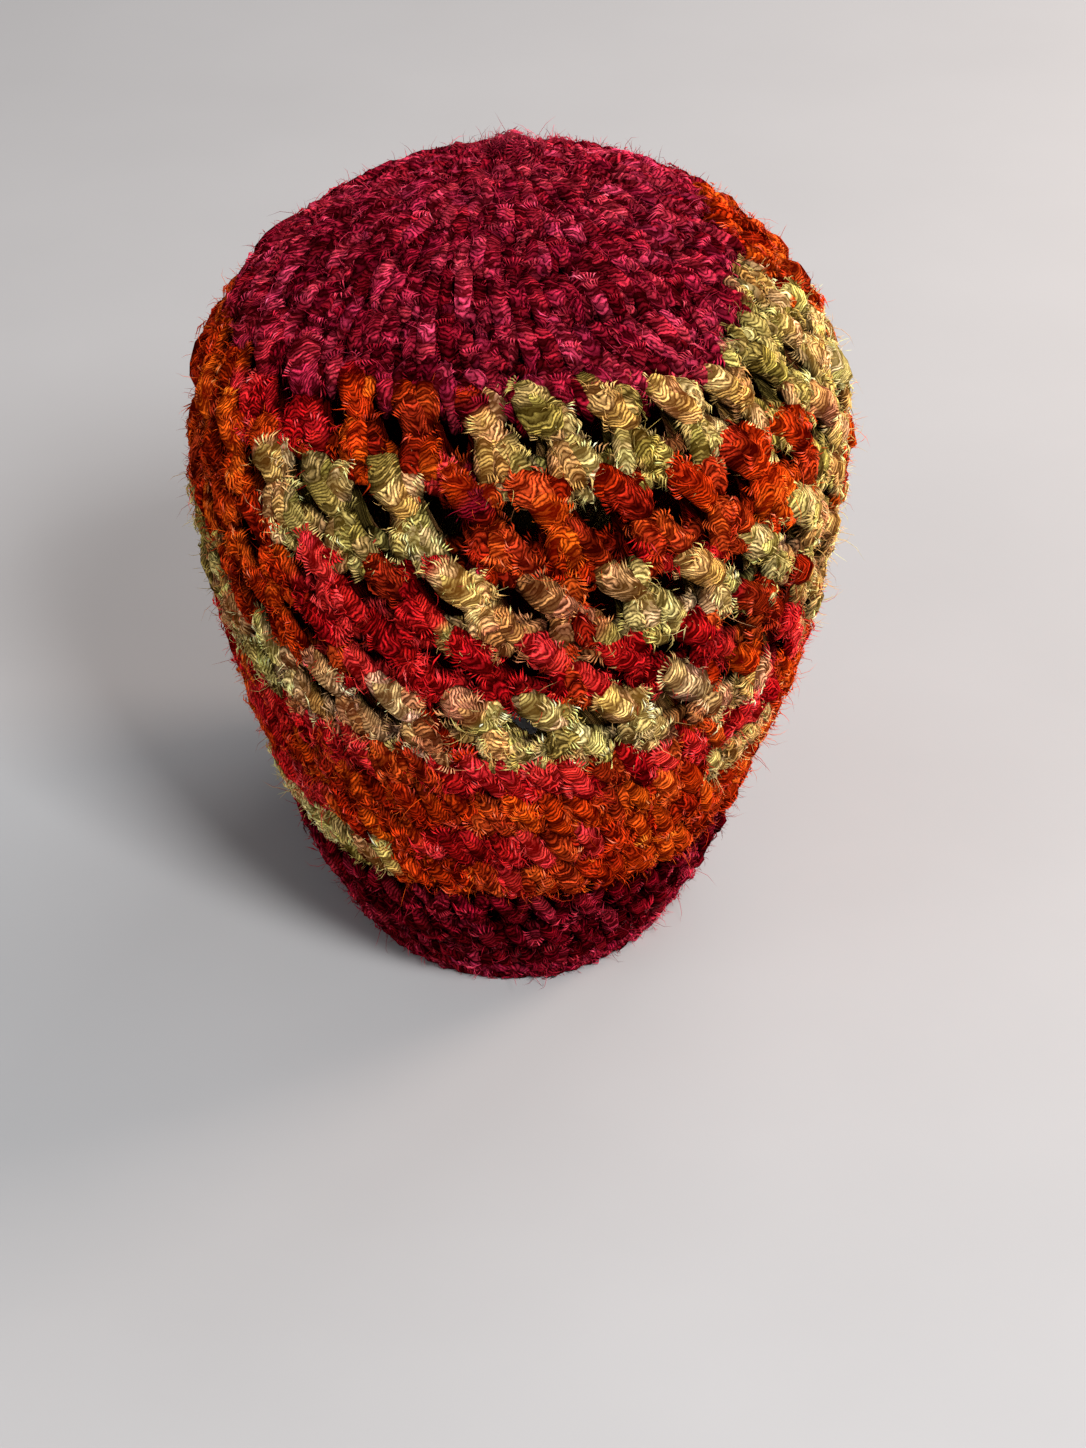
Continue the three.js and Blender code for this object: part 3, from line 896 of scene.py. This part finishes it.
def tint(turns, random):
    """Colours that drift between the turns of the dye along each strand."""
    strands, samples = turns.shape[:2]
    start = random.uniform(0, 2, (strands, 1))
    drift = random.normal(0, TINT_DRIFT, (strands, 1)) * np.linspace(0, 1, samples)
    phase = random.uniform(0, 6.28, (strands, 1))
    wave = TINT_WAVE * np.sin(np.linspace(0, TINT_WAVE_LENGTH, samples) + phase)
    share = np.clip(start + drift + wave, 0, 2)[..., None]
    light, middle, deep = turns[..., 0, :], turns[..., 1, :], turns[..., 2, :]
    upper = light + (middle - light) * np.minimum(share, 1)
    colour = upper + (deep - middle) * np.maximum(share - 1, 0)
    return np.clip(colour * random.uniform(*TINT_LIGHT, (strands, 1, 1)), 0, 1)


def plain_turns(dye, shape):
    """The three turns of one dye, the same all along strands of a shape (strands, samples)."""
    return np.broadcast_to(np.array(DYES[dye]), shape + (3, 3))


def thickness(radius, shape, random):
    """Half thickness along each strand, full in the middle and drawn in at both ends."""
    count, samples = shape
    along = np.clip(np.linspace(0, 1, samples), 0.001, 0.999)
    shape = END_THICKNESS + (1 - END_THICKNESS) * np.sin(np.pi * along) ** END_ROUNDING
    return radius * shape * random.uniform(*THICKNESS_RANGE, (count, 1))


def jitter(points, spread, random):
    """Moves every control point a little, and each strand as a whole."""
    spread = np.array(spread)
    whole = random.normal(0, 1, (points.shape[0], 1, 3)) * spread
    return points + whole * 0.7 + random.normal(0, 1, points.shape) * spread * 0.5


def copies(controls, count, samples, spread, random, nudge=0.0):
    """Copies of one strand's control points, moved a little and bent into smooth curves."""
    base = np.broadcast_to(np.array(controls, float), (count, len(controls), 3)) + nudge
    return bend(jitter(base, spread, random), samples)


def haze(yarn, settings, share, bunched=1.0):
    """The threads and fibres that make a piece of yarn soft."""
    yarn.bunches(int(settings.bunches_per_round * share * bunched))
    fibres = settings.fuzz_per_round * share
    part, shortest, longest, thick = SHORT_FIBRES
    yarn.loose_fibres(int(fibres * part), shortest, longest, thick, curled=False)
    part, shortest, thick = LONG_FIBRES
    yarn.loose_fibres(int(fibres * part), shortest, settings.fuzz_length, thick, curled=True)


def group_round(name, number, settings):
    """The strands of one open round of leaning groups over its inner shell."""
    yarn = Yarn(seed=ROUND_SEED + number)
    random = yarn.random
    rows = np.arange(GROUPS)[:, None]
    nudge = random.normal(0, 1, (GROUPS, 1, 3)) * np.array(GROUP_NUDGE)
    tall = (LINES[number][0] - LINES[number + 1][0]) / USUAL_ROUND
    swell = random.uniform(*GROUP_SWELL, (GROUPS, 1)) * tall ** 0.7
    for radius, lay, controls in GROUP_STRANDS:
        local = copies(controls, GROUPS, GROUP_SAMPLES, GROUP_SPREAD, random, nudge)
        angle = angle_of(rows + 0.5 + local[..., 0] + LEAN * local[..., 1])
        high, low = line_height(number, angle), line_height(number + 1, angle)
        t = section_at(high + (low - high) * local[..., 1])
        centre, normal = skin(angle, t, local[..., 2] - SUNK)
        thick = thickness(radius * settings.yarn_scale, angle.shape, random) * swell
        turns = dye_at(RUNS[name], angle, random)
        if name in LATE:
            start, stop, depth, dye = LATE[name]
            late = (wrapped(angle) > start) & (wrapped(angle) < stop) & (local[..., 1] < depth)
            turns = np.where(late[..., None, None], np.array(DYES[dye]), turns)
        colour = tint(turns, random)
        yarn.strands(centre, normal, thick, colour, local[..., 2], lay, sides=7, flat=GROUP_FLAT)
    inner_shell(yarn, number, name)
    haze(yarn, settings, share=1.0)
    return yarn


def dense_round(name, number, settings):
    """The strands of one dense round of leaning stitches over its inner shell."""
    yarn = Yarn(seed=ROUND_SEED + number)
    random = yarn.random
    stitches = np.arange(CLOSE_STITCHES)[:, None]
    for radius, lay, controls in CLOSE_STRANDS:
        local = copies(controls, CLOSE_STITCHES, STITCH_SAMPLES, CLOSE_SPREAD, random)
        place = stitches + CLOSE_SHIFT * number + local[..., 0] + CLOSE_LEAN * local[..., 1]
        angle = FIRST_GAP + 360 * place / CLOSE_STITCHES
        sway = CLOSE_WAVE * np.sin(np.radians(angle) * GROUPS + number * CLOSE_WAVE_SHIFT)
        high, low = line_height(number, angle) + sway, line_height(number + 1, angle) + sway
        t = section_at(high + (low - high) * local[..., 1])
        centre, normal = skin(angle, t, local[..., 2] - SUNK)
        thick = thickness(radius * settings.yarn_scale, angle.shape, random)
        colour = tint(dye_at(RUNS[name], angle, random), random)
        yarn.strands(centre, normal, thick, colour, local[..., 2], lay, sides=7)
    inner_shell(yarn, number, name)
    haze(yarn, settings, share=0.9)
    return yarn


def inner_shell(yarn, number, name):
    """A thin inner layer in painted shade, with the gaps left open, which closes the spaces between
    strands.
    """
    open_round = number < len(NOTCHES)
    notch = NOTCHES[number] if open_round else 0
    opened = FEWER_GAPS.get(number, GROUPS) if open_round else 0
    place = np.arange(GROUPS * SHELL_STEPS) / SHELL_STEPS
    phase = place % 1
    cut = (np.round(place).astype(int) * opened) % GROUPS < opened
    near = np.minimum(phase, 1 - phase)
    dip = np.where(cut, notch * np.clip(1 - (near / GAP_HALF_WIDTH) ** 2.2, 0, 1), 0)
    high = line_height(number, angle_of(place))
    low = line_height(number + 1, angle_of(place + LEAN))
    top = (dip - SHELL_INSET) / (high - low)
    loops = []
    for share, out in SHELL_SECTION:
        down = SHELL_OVERLAP + (top - SHELL_OVERLAP) * share
        t = section_at(high + (low - high) * down)
        loops.append(skin(angle_of(place + LEAN * down), t, np.full(len(place), out))[0])
    turns = dye_at(RUNS[name], angle_of(place)[:, None], yarn.random)[:, 0]
    # Painted shade: the outer face takes the deep turn darkened, the inner face the middle turn.
    outer, inner = turns[:, 2] * SHELL_OUTER_SHADE, turns[:, 1] * SHELL_INNER_SHADE
    yarn.shell(loops, np.concatenate([outer] * 3 + [inner] * 3))


def crown_yarn(settings):
    """Rounds of tall stitches from the crown's edge to its top."""
    yarn = Yarn(seed=7)
    random = yarn.random
    shares = [share for share, _, _ in CROWN_ROUNDS] + [CROWN_END]
    for row, (share, count, pinch) in enumerate(CROWN_ROUNDS):
        span = shares[row + 1] - share
        stitches = np.arange(count)[:, None]
        for radius, lay, controls in CROWN_STRANDS:
            local = copies(controls, count, STITCH_SAMPLES, CROWN_SPREAD, random)
            place = (stitches + CROWN_SHIFT * row + local[..., 0] + CROWN_LEAN * local[..., 1]) / count
            angle = FIRST_GAP + 360 * place
            start = line_height(CROWN_LINE, angle)
            if row == 0:
                phase = (angle - FIRST_GAP) * GROUPS / 360 % 1
                start = start - CROWN_HANG + CROWN_SCALLOP * (1 - np.abs(2 * phase - 1))
            edge = section_at(start)
            reach = share + span * (1 - local[..., 1])
            centre, normal = skin(angle, edge + (LAST - edge) * reach, local[..., 2] - SUNK)
            thick = thickness(radius * pinch * settings.yarn_scale, angle.shape, random)
            turns = plain_turns("maroon", angle.shape)
            if row < len(EARLY):
                first, last = EARLY[row]
                early = (wrapped(angle) > first) & (wrapped(angle) < last)
                turns = np.where(early[..., None, None], dye_at(EARLY_RUN, angle, random), turns)
            yarn.strands(centre, normal, thick, tint(turns, random), local[..., 2], lay, sides=6)
    crown_shell(yarn)
    haze(yarn, settings, share=2.1, bunched=0.82)
    return yarn


def crown_shell(yarn):
    """The crown's thin inner layer, closed at the top by a pole on each face."""
    angle = FIRST_GAP + np.arange(CROWN_SHELL_COUNT) * 360 / CROWN_SHELL_COUNT
    edge = section_at(line_height(CROWN_LINE, angle) - CROWN_SHELL_DROP)
    loops = []
    for shares, sunk in ((CROWN_SHELL_INNER, SHELL_BACK), (CROWN_SHELL_OUTER, SHELL_FACE)):
        for share in shares:
            t = edge + (LAST - edge) * share
            loops.append(skin(angle, t, np.full(CROWN_SHELL_COUNT, -sunk))[0])
    top = smooth(np.array([0.0]), np.array([float(LAST)]))[0]
    # The layer is painted in shade: half the middle turn of the maroon.
    colour = np.array(DYES["maroon"][1]) * PLAIN_SHELL_SHADE
    colour = np.broadcast_to(colour, (CROWN_SHELL_COUNT * len(loops), 3))
    yarn.shell(loops, colour, [top - [0, 0, SHELL_BACK], top - [0, 0, SHELL_FACE]])


def knot_yarn(settings):
    """The small knot: three turns of yarn wound over one another."""
    yarn = Yarn(seed=11)
    random = yarn.random
    shape = (1, KNOT_SAMPLES)
    for radius, high, thick, start in KNOT_TURNS:
        turn = np.linspace(0, 2 * np.pi * KNOT_OVERLAP, KNOT_SAMPLES) + start
        lift = high + KNOT_WAVE * np.sin(2 * turn)
        centre = np.stack([radius * np.sin(turn), -radius * np.cos(turn), lift], -1)[None]
        normal = unit(np.stack([np.sin(turn), -np.cos(turn), np.full(KNOT_SAMPLES, KNOT_TILT)], -1))[None]
        width = thickness(thick * settings.yarn_scale, shape, random)
        colour = tint(plain_turns("maroon", shape), random) * KNOT_SHADE
        level = np.full(shape, KNOT_LEVEL)
        yarn.strands(centre + np.array(KNOT_PLACE), normal, width, colour, level, 1, sides=9)
    haze(yarn, settings, share=0.12)
    return yarn


def brim_yarn(settings):
    """Three rounds of plain stitches under the last line."""
    yarn = Yarn(seed=13)
    random = yarn.random
    shares = [share for share, _ in BRIM_ROUNDS] + [1.0]
    for row, (share, count) in enumerate(BRIM_ROUNDS):
        span = shares[row + 1] - share
        stitches = np.arange(count)[:, None]
        for radius, lay, controls in BRIM_STRANDS:
            local = copies(controls, count, STITCH_SAMPLES, BRIM_SPREAD, random)
            place = stitches + BRIM_SHIFT * row + local[..., 0] + BRIM_LEAN * local[..., 1]
            angle = FIRST_GAP + 360 * place / count
            top = line_height(BRIM_LINE, angle)
            z = top + (BRIM_FOOT - top) * (share + span * local[..., 1])
            centre, normal = skin(angle, section_at(z), local[..., 2] - SUNK_BRIM)
            thick = thickness(radius * settings.yarn_scale, angle.shape, random)
            colour = tint(plain_turns("wine", angle.shape), random)
            yarn.strands(centre, normal, thick, colour, local[..., 2], lay, sides=7)
    angle = angle_of(np.arange(GROUPS * BRIM_SHELL_STEPS) / BRIM_SHELL_STEPS)
    high = line_height(BRIM_LINE, angle) + BRIM_SHELL_RISE
    loops = []
    for share, out in SHELL_SECTION:
        t = section_at(BRIM_SHELL_FOOT + (high - BRIM_SHELL_FOOT) * share)
        loops.append(skin(angle, t, np.full(len(angle), out))[0])
    # The brim's inner layer is painted in shade: half the middle turn of the wine.
    colour = np.array(DYES["wine"][1]) * PLAIN_SHELL_SHADE
    yarn.shell(loops, np.broadcast_to(colour, (len(angle) * len(loops), 3)))
    haze(yarn, settings, share=0.9, bunched=0.75)
    return yarn


def edge_yarn(settings):
    """The chain edge: rows of loops that lie over one another like a braid."""
    yarn = Yarn(seed=17)
    random = yarn.random
    loops = np.arange(EDGE_LOOPS)[:, None]
    each = (EDGE_LOOPS, 1)
    for high, low, out, radius in EDGE_ROWS:
        s = np.linspace(LOOP_START, LOOP_STOP, LOOP_SAMPLES)
        share = (s - LOOP_START) / (LOOP_STOP - LOOP_START)
        along, up, outward = (random.normal(0, stray, each) for stray in LOOP_STRAY)
        angle = FIRST_GAP + 360 * (loops + s[None] + along) / EDGE_LOOPS
        lift = high + (low - high) * share + up
        bow = out + LOOP_BOW * np.sin(np.pi * share) + outward
        centre, normal = skin(angle, section_at(np.maximum(lift, 0)), bow)
        thick = thickness(radius * settings.yarn_scale, angle.shape, random)
        centre[..., 2] = np.maximum(lift, thick * LOOP_SEAT + STRAND_CLEARANCE)
        # Painted light: the ropes face down, so they take the brighter maroon, not the brim's wine,
        colour = tint(plain_turns("maroon", angle.shape), random)
        # and their height for the painted shade between strands is lifted by the bow.
        yarn.strands(centre, normal, thick, colour, bow + LOOP_BOW, 1, sides=7)
    haze(yarn, settings, share=0.2)
    return yarn


class Nodes:
    """Adds nodes to a new material and joins them."""

    def __init__(self, material, roughness):
        material.use_nodes = True
        self.tree = material.node_tree
        self.shader = self.tree.nodes["Principled BSDF"]
        self.shader.inputs["Roughness"].default_value = roughness

    def add(self, kind):
        """A new node of a kind."""
        return self.tree.nodes.new("ShaderNode" + kind)

    def put(self, value, slot):
        """Sets a slot to a number, or joins it to another node's output."""
        if isinstance(value, (int, float)):
            slot.default_value = value
        elif value is not None:
            self.tree.links.new(value, slot)

    def maths(self, kind, first, second=None):
        """Result of arithmetic on one or two values."""
        node = self.add("Math")
        node.operation = kind
        self.put(first, node.inputs[0])
        self.put(second, node.inputs[1])
        return node.outputs["Value"]

    def vector(self, kind, first, second=None, scale=None):
        """Result of arithmetic on one or two vectors."""
        node = self.add("VectorMath")
        node.operation = kind
        self.put(first, node.inputs[0])
        self.put(second, node.inputs[1])
        if scale is not None:
            self.put(scale, node.inputs["Scale"])
        return node.outputs["Vector"]

    def noise(self, vector, scale, detail):
        """Smooth noise between 0 and 1."""
        node = self.add("TexNoise")
        node.inputs["Scale"].default_value = scale
        node.inputs["Detail"].default_value = detail
        self.put(vector, node.inputs["Vector"])
        return node.outputs["Fac"]

    def span(self, value, source, result):
        """A value moved from one range to another and held inside it."""
        node = self.add("MapRange")
        self.put(value, node.inputs["Value"])
        titles = ("From Min", "From Max", "To Min", "To Max")
        for title, number in zip(titles, source + result):
            node.inputs[title].default_value = number
        return node.outputs["Result"]

    def combined(self, x, y, z=None):
        """A vector from its parts."""
        node = self.add("CombineXYZ")
        for value, slot in zip((x, y, z), node.inputs):
            self.put(value, slot)
        return node.outputs["Vector"]

    def parts(self, vector):
        """The three parts of a vector."""
        node = self.add("SeparateXYZ")
        self.put(vector, node.inputs["Vector"])
        return node.outputs["X"], node.outputs["Y"], node.outputs["Z"]

    def dye(self):
        """The dye's colour at each point, with the painted shade and painted glints it carries."""
        node = self.add("Attribute")
        node.attribute_name = "DyeAndPaintedLight"
        return node.outputs["Color"]

    def thread_map(self):
        """Share of the way round a strand, and millimetres along it."""
        node = self.add("UVMap")
        node.uv_map = "Thread"
        return self.parts(node.outputs["UV"])[:2]

    def thread_bunches(self, lay, length):
        """Cells of threads that lie together: three random values and the distance to the middle."""
        across, along = CELL_SIZE
        place = self.combined(self.maths("DIVIDE", lay, across), self.maths("DIVIDE", length, along))
        node = self.add("TexVoronoi")
        node.voronoi_dimensions = "2D"
        node.inputs["Scale"].default_value = 1.0
        self.put(place, node.inputs["Vector"])
        return self.parts(node.outputs["Color"]), node.outputs["Distance"]

    def bump(self, height, distance):
        """Relief of the surface."""
        node = self.add("Bump")
        node.inputs["Strength"].default_value = 1.0
        node.inputs["Distance"].default_value = distance
        self.put(height, node.inputs["Height"])
        self.put(node.outputs["Normal"], self.shader.inputs["Normal"])


def yarn_material(name, settings, painted_light=1.0):
    """Twisted fine threads whose lay runs slantwise round each strand, with painted shade and highlights.
    """
    material = bpy.data.materials.new(name)
    nodes = Nodes(material, roughness=0.65)
    nodes.shader.inputs["Specular IOR Level"].default_value = 0.0
    maths = nodes.maths
    place = nodes.add("TexCoord").outputs["Object"]
    turn, run = nodes.thread_map()

    # Where each thread lies: round the strand, along it, and astray.
    wander = maths("MULTIPLY", nodes.noise(place, *WANDER[:2]), WANDER[2])
    sway = maths("MULTIPLY", maths("SUBTRACT", nodes.noise(place, *SWAY[:2]), 0.5), SWAY[2])
    frizz = maths("MULTIPLY", nodes.noise(place, *FRIZZ[:2]), FRIZZ[2])
    side = maths("ABSOLUTE", maths("ADD", maths("SUBTRACT", turn, 0.5), sway))
    rounded = maths("DIVIDE", maths("MULTIPLY", side, side), maths("ADD", side, CREST_ROUNDING))
    around = maths("MULTIPLY", rounded, settings.threads_around)
    along = maths("MULTIPLY", run, settings.threads_per_mm)
    lay = maths("ADD", maths("ADD", around, along), maths("ADD", wander, frizz))
    length = maths("SUBTRACT", maths("MULTIPLY", rounded, CELL_ROUND), maths("MULTIPLY", run, CELL_ALONG))

    # Bunches of threads tilt against one another, and each thread is a round ridge.
    (shift, lean, shine), distance = nodes.thread_bunches(lay, length)
    tilt = maths("MULTIPLY", maths("MULTIPLY", maths("SUBTRACT", lean, 0.5), length), CELL_TILT)
    phase = maths("ADD", maths("ADD", lay, tilt), maths("MULTIPLY", shift, CELL_SHIFT))
    cell = maths("SUBTRACT", maths("MULTIPLY", maths("FRACT", phase), 2.0), 1.0)
    fall = maths("MAXIMUM", maths("SUBTRACT", 1.0, maths("MULTIPLY", cell, cell)), 0.0)
    ridge = maths("POWER", maths("SQRT", fall), RIDGE_POWER)

    # Threads come up and go under along their length, and more so at the edge of a bunch.
    over = maths("SUBTRACT", maths("MULTIPLY", turn, STREAK_ROUND), maths("MULTIPLY", run, STREAK_ALONG))
    thread = nodes.combined(maths("MULTIPLY", maths("FLOOR", phase), STREAK_APART), over)
    streak = nodes.span(nodes.noise(thread, STREAK_SCALE, 1.0), (0.40, 0.64), (0.08, 1.0))
    edge = nodes.span(distance, (0.3, 0.75), (1.0, 0.16))
    level = maths("MULTIPLY", maths("MULTIPLY", ridge, streak), edge)

    # The dye in painted light, from a deep shade between the threads to highlights on their tops.
    fibre = nodes.noise(place, *GRAIN)
    strength = maths("MULTIPLY", level, maths("ADD", maths("MULTIPLY", fibre, 2.6), 0.35))
    # A factor below one darkens the whole yarn, for the inner layer's copy in painted shade.
    strength = maths("MULTIPLY", strength, maths("MULTIPLY", maths("ADD", shine, 0.85), painted_light))
    green = maths("ADD", maths("MULTIPLY", shift, 0.22), 0.87)
    blue = maths("ADD", maths("MULTIPLY", lean, 0.4), 0.76)
    dye = nodes.dye()
    dyed = nodes.vector("MULTIPLY", dye, nodes.combined(1.0, green, blue))
    deep = nodes.vector("SCALE", nodes.vector("MULTIPLY", dye, dye), scale=GROOVE_SHADE * painted_light)
    raised = nodes.vector("SCALE", nodes.vector("SUBTRACT", dyed, deep), scale=strength)
    nodes.put(nodes.vector("ADD", deep, raised), nodes.shader.inputs["Base Color"])
    nodes.bump(maths("ADD", level, maths("MULTIPLY", fibre, GRAIN_RELIEF)), RELIEF)
    return material


def fibre_material(name):
    """Loose fibres: the dye, with the painted shade and painted glints it carries, a faint grain, and a
    little sheen in its own colour.
    """
    material = bpy.data.materials.new(name)
    nodes = Nodes(material, roughness=0.5)
    nodes.shader.inputs["Specular IOR Level"].default_value = 0.12
    dye = nodes.dye()
    grain = nodes.span(nodes.noise(None, 400, 2.0), (0.0, 1.0), (0.75, 1.35))
    nodes.put(nodes.vector("SCALE", dye, scale=grain), nodes.shader.inputs["Base Color"])
    nodes.put(dye, nodes.shader.inputs["Specular Tint"])
    return material


def floor_material(colour):
    """Pale matt floor with a faint mottle."""
    material = bpy.data.materials.new("Pale floor")
    nodes = Nodes(material, roughness=0.8)
    place = nodes.add("TexCoord").outputs["Object"]
    mottle = nodes.span(nodes.noise(place, 9, 6), (0.0, 1.0), (0.93, 1.05))
    scale = nodes.add("VectorMath")
    scale.operation = "SCALE"
    scale.inputs[0].default_value = colour
    nodes.put(mottle, scale.inputs["Scale"])
    nodes.put(scale.outputs["Vector"], nodes.shader.inputs["Base Color"])
    return material


class CapSettings(bpy.types.PropertyGroup):
    """Sizes and looks of the cap's yarn."""

    yarn_scale: bpy.props.FloatProperty(
        name="Yarn scale",
        description="Thickness of the yarn against its usual thickness",
        default=1.0,
        subtype="FACTOR",
    )
    threads_around: bpy.props.FloatProperty(
        name="Threads around",
        description="Fine threads counted round one strand",
        default=21.0,
    )
    threads_per_mm: bpy.props.FloatProperty(
        name="Threads along",
        description="Fine threads crossed in each millimetre along a strand",
        default=1.0,
    )
    bunches_per_round: bpy.props.IntProperty(
        name="Bunches",
        description="Fanned bunches of threads on each round",
        default=860,
    )
    fuzz_per_round: bpy.props.IntProperty(
        name="Fibres",
        description="Loose fibres on each round",
        default=2700,
    )
    fuzz_length: bpy.props.FloatProperty(
        name="Longest fibre",
        description="Length of the longest loose fibres in millimetres",
        default=7.0,
    )


class StageSettings(bpy.types.PropertyGroup):
    """Floor, lights and camera."""

    floor_colour: bpy.props.FloatVectorProperty(
        name="Floor",
        description="Colour of the floor",
        default=(0.47, 0.47, 0.475),
        subtype="COLOR",
        size=3,
    )
    floor_size: bpy.props.FloatProperty(
        name="Floor size",
        description="Side of the floor",
        default=8.0,
        unit="LENGTH",
    )
    camera_elevation: bpy.props.FloatProperty(
        name="Camera elevation",
        description="How steeply the camera looks down",
        default=math.radians(28),
        subtype="ANGLE",
    )
    camera_distance: bpy.props.FloatProperty(
        name="Camera distance",
        description="From the camera to the middle of the cap",
        default=CAMERA_DISTANCE,
        unit="LENGTH",
    )
    key_power: bpy.props.FloatProperty(
        name="Key light",
        description="Power of the large front light in watts",
        default=25.0,
    )


def shared_materials(settings):
    """The three materials that every piece uses, made once, in the order of a mesh's kinds of parts."""
    names = ("Twisted yarn", "Loose fibres", "Inner yarn in painted shade")
    found = [bpy.data.materials.get(name) for name in names]
    if all(found):
        return found
    yarn, fibres, inner = names
    # The inner layer's yarn is a copy in painted shade, darker all over.
    return [yarn_material(yarn, settings), fibre_material(fibres), yarn_material(inner, settings, painted_light=0.6)]


def hand_over(yarn, node):
    """Builds a piece and lets it stand for its node."""
    settings = bpy.context.scene.crocheted_cap
    piece = yarn.build("yarn_" + node, shared_materials(settings))
    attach(piece, "root")
    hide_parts(node)


class CAP_OT_crown(bpy.types.Operator):
    """Works the closed crown and its knot"""

    bl_idname = "cap.crown"
    bl_label = "Crown"

    def execute(self, context):
        settings = context.scene.crocheted_cap
        hand_over(crown_yarn(settings), "crown")
        hand_over(knot_yarn(settings), "crown_knot")
        return {"FINISHED"}


class CAP_OT_open_rounds(bpy.types.Operator):
    """Works the open rounds of leaning groups"""

    bl_idname = "cap.open_rounds"
    bl_label = "Open rounds"

    def execute(self, context):
        settings = context.scene.crocheted_cap
        slots = ("tan_orange_yarn", "rust_yarn", "brown_tan_yarn", "red_yarn", "tan_yarn")
        for i, slot in enumerate(slots):
            name = f"mesh_round_{i + 1}"
            hand_over(group_round(name, i, settings), name)
        return {"FINISHED"}


class CAP_OT_close_rounds(bpy.types.Operator):
    """Works the dense rounds of leaning stitches"""

    bl_idname = "cap.close_rounds"
    bl_label = "Dense rounds"

    def execute(self, context):
        settings = context.scene.crocheted_cap
        slots = ("red_yarn", "orange_yarn", "red_yarn", "orange_yarn")
        for i, slot in enumerate(slots):
            name = f"close_round_{i + 1}"
            hand_over(dense_round(name, i + len(NOTCHES), settings), name)
        return {"FINISHED"}


class CAP_OT_brim(bpy.types.Operator):
    """Works the plain band and its chain edge"""

    bl_idname = "cap.brim"
    bl_label = "Brim"

    def execute(self, context):
        settings = context.scene.crocheted_cap
        hand_over(brim_yarn(settings), "brim")
        hand_over(edge_yarn(settings), "brim_edge")
        return {"FINISHED"}


def soft_light(name, place, power, size, colour):
    """A square area light that faces the cap."""
    data = bpy.data.lights.new(name, "AREA")
    data.energy = power
    data.size = size
    data.color = colour
    lamp = bpy.data.objects.new(name, data)
    lamp.location = place
    lamp.rotation_euler = (Vector(LIGHT_TARGET) - Vector(place)).to_track_quat("-Z", "Y").to_euler()
    bpy.context.scene.collection.objects.link(lamp)


def lay_floor(context, stage):
    """A plain square floor under the cap."""
    half = stage.floor_size / 2
    corners = [(-half, -half, 0), (half, -half, 0), (half, half, 0), (-half, half, 0)]
    mesh = bpy.data.meshes.new("floor")
    mesh.from_pydata(corners, [], [(0, 1, 2, 3)])
    mesh.materials.append(floor_material(stage.floor_colour))
    floor = bpy.data.objects.new("floor", mesh)
    context.scene.collection.objects.link(floor)


def place_camera(context, stage):
    """Camera at the photograph's angle, turned so that the cap lies where it does there."""
    focal = PHOTO_SCALE * CAMERA_DISTANCE * MM_PER_M
    data = bpy.data.cameras.new("Camera")
    data.sensor_width = SENSOR
    data.lens = focal / PHOTO_HEIGHT * SENSOR
    data.clip_end = CLIP_END
    camera = bpy.data.objects.new("Camera", data)
    target = Vector((0, 0, TARGET_HEIGHT))
    elevation = stage.camera_elevation
    back = Vector((0, -math.cos(elevation), math.sin(elevation)))
    camera.location = target + back * stage.camera_distance
    turn = (-back).to_track_quat("-Z", "Y").to_matrix()
    yaw = math.atan((PHOTO_WIDTH / 2 - TARGET_PIXEL[0]) / focal)
    pitch = math.atan((PHOTO_HEIGHT / 2 - TARGET_PIXEL[1]) / focal)
    turn = turn @ Matrix.Rotation(-yaw, 3, "Y") @ Matrix.Rotation(-pitch, 3, "X")
    camera.rotation_euler = turn.to_euler()
    context.scene.collection.objects.link(camera)
    context.scene.camera = camera


class CAP_OT_stage(bpy.types.Operator):
    """Sets the floor, the soft lights and the camera"""

    bl_idname = "cap.stage"
    bl_label = "Stage"

    def execute(self, context):
        stage = context.scene.cap_stage
        lay_floor(context, stage)
        world = bpy.data.worlds.new("Studio")
        world.use_nodes = True
        background = world.node_tree.nodes["Background"]
        background.inputs["Color"].default_value = STUDIO_COLOUR
        background.inputs["Strength"].default_value = STUDIO_STRENGTH
        context.scene.world = world
        for name, place, share, size, colour in LIGHTS:
            soft_light(name, place, stage.key_power * share, size, colour)
        place_camera(context, stage)
        context.scene.view_settings.view_transform = "Standard"
        return {"FINISHED"}


class CAP_PT_sidebar(bpy.types.Panel):
    """Lists the steps that build the cap"""

    bl_label = "Crocheted Cap"
    bl_idname = "CAP_PT_sidebar"
    bl_space_type = "VIEW_3D"
    bl_region_type = "UI"
    bl_category = "Crocheted Cap"

    def draw(self, context):
        for step in STEPS:
            self.layout.operator(step.bl_idname)
        for group in (context.scene.crocheted_cap, context.scene.cap_stage):
            for name in group.__annotations__:
                self.layout.prop(group, name)


STEPS = (CAP_OT_crown, CAP_OT_open_rounds, CAP_OT_close_rounds, CAP_OT_brim, CAP_OT_stage)
CLASSES = (CapSettings, StageSettings) + STEPS + (CAP_PT_sidebar,)


def register():
    """Adds the add-on's classes and its two groups of settings."""
    for item in CLASSES:
        bpy.utils.register_class(item)
    bpy.types.Scene.crocheted_cap = bpy.props.PointerProperty(type=CapSettings)
    bpy.types.Scene.cap_stage = bpy.props.PointerProperty(type=StageSettings)


def unregister():
    """Takes them out again."""
    del bpy.types.Scene.cap_stage
    del bpy.types.Scene.crocheted_cap
    for item in reversed(CLASSES):
        bpy.utils.unregister_class(item)


def main():
    """Registers the classes and runs every step."""
    register()
    bpy.ops.cap.crown()
    bpy.ops.cap.open_rounds()
    bpy.ops.cap.close_rounds()
    bpy.ops.cap.brim()
    bpy.ops.cap.stage()


if __name__ == "__main__":
    main()
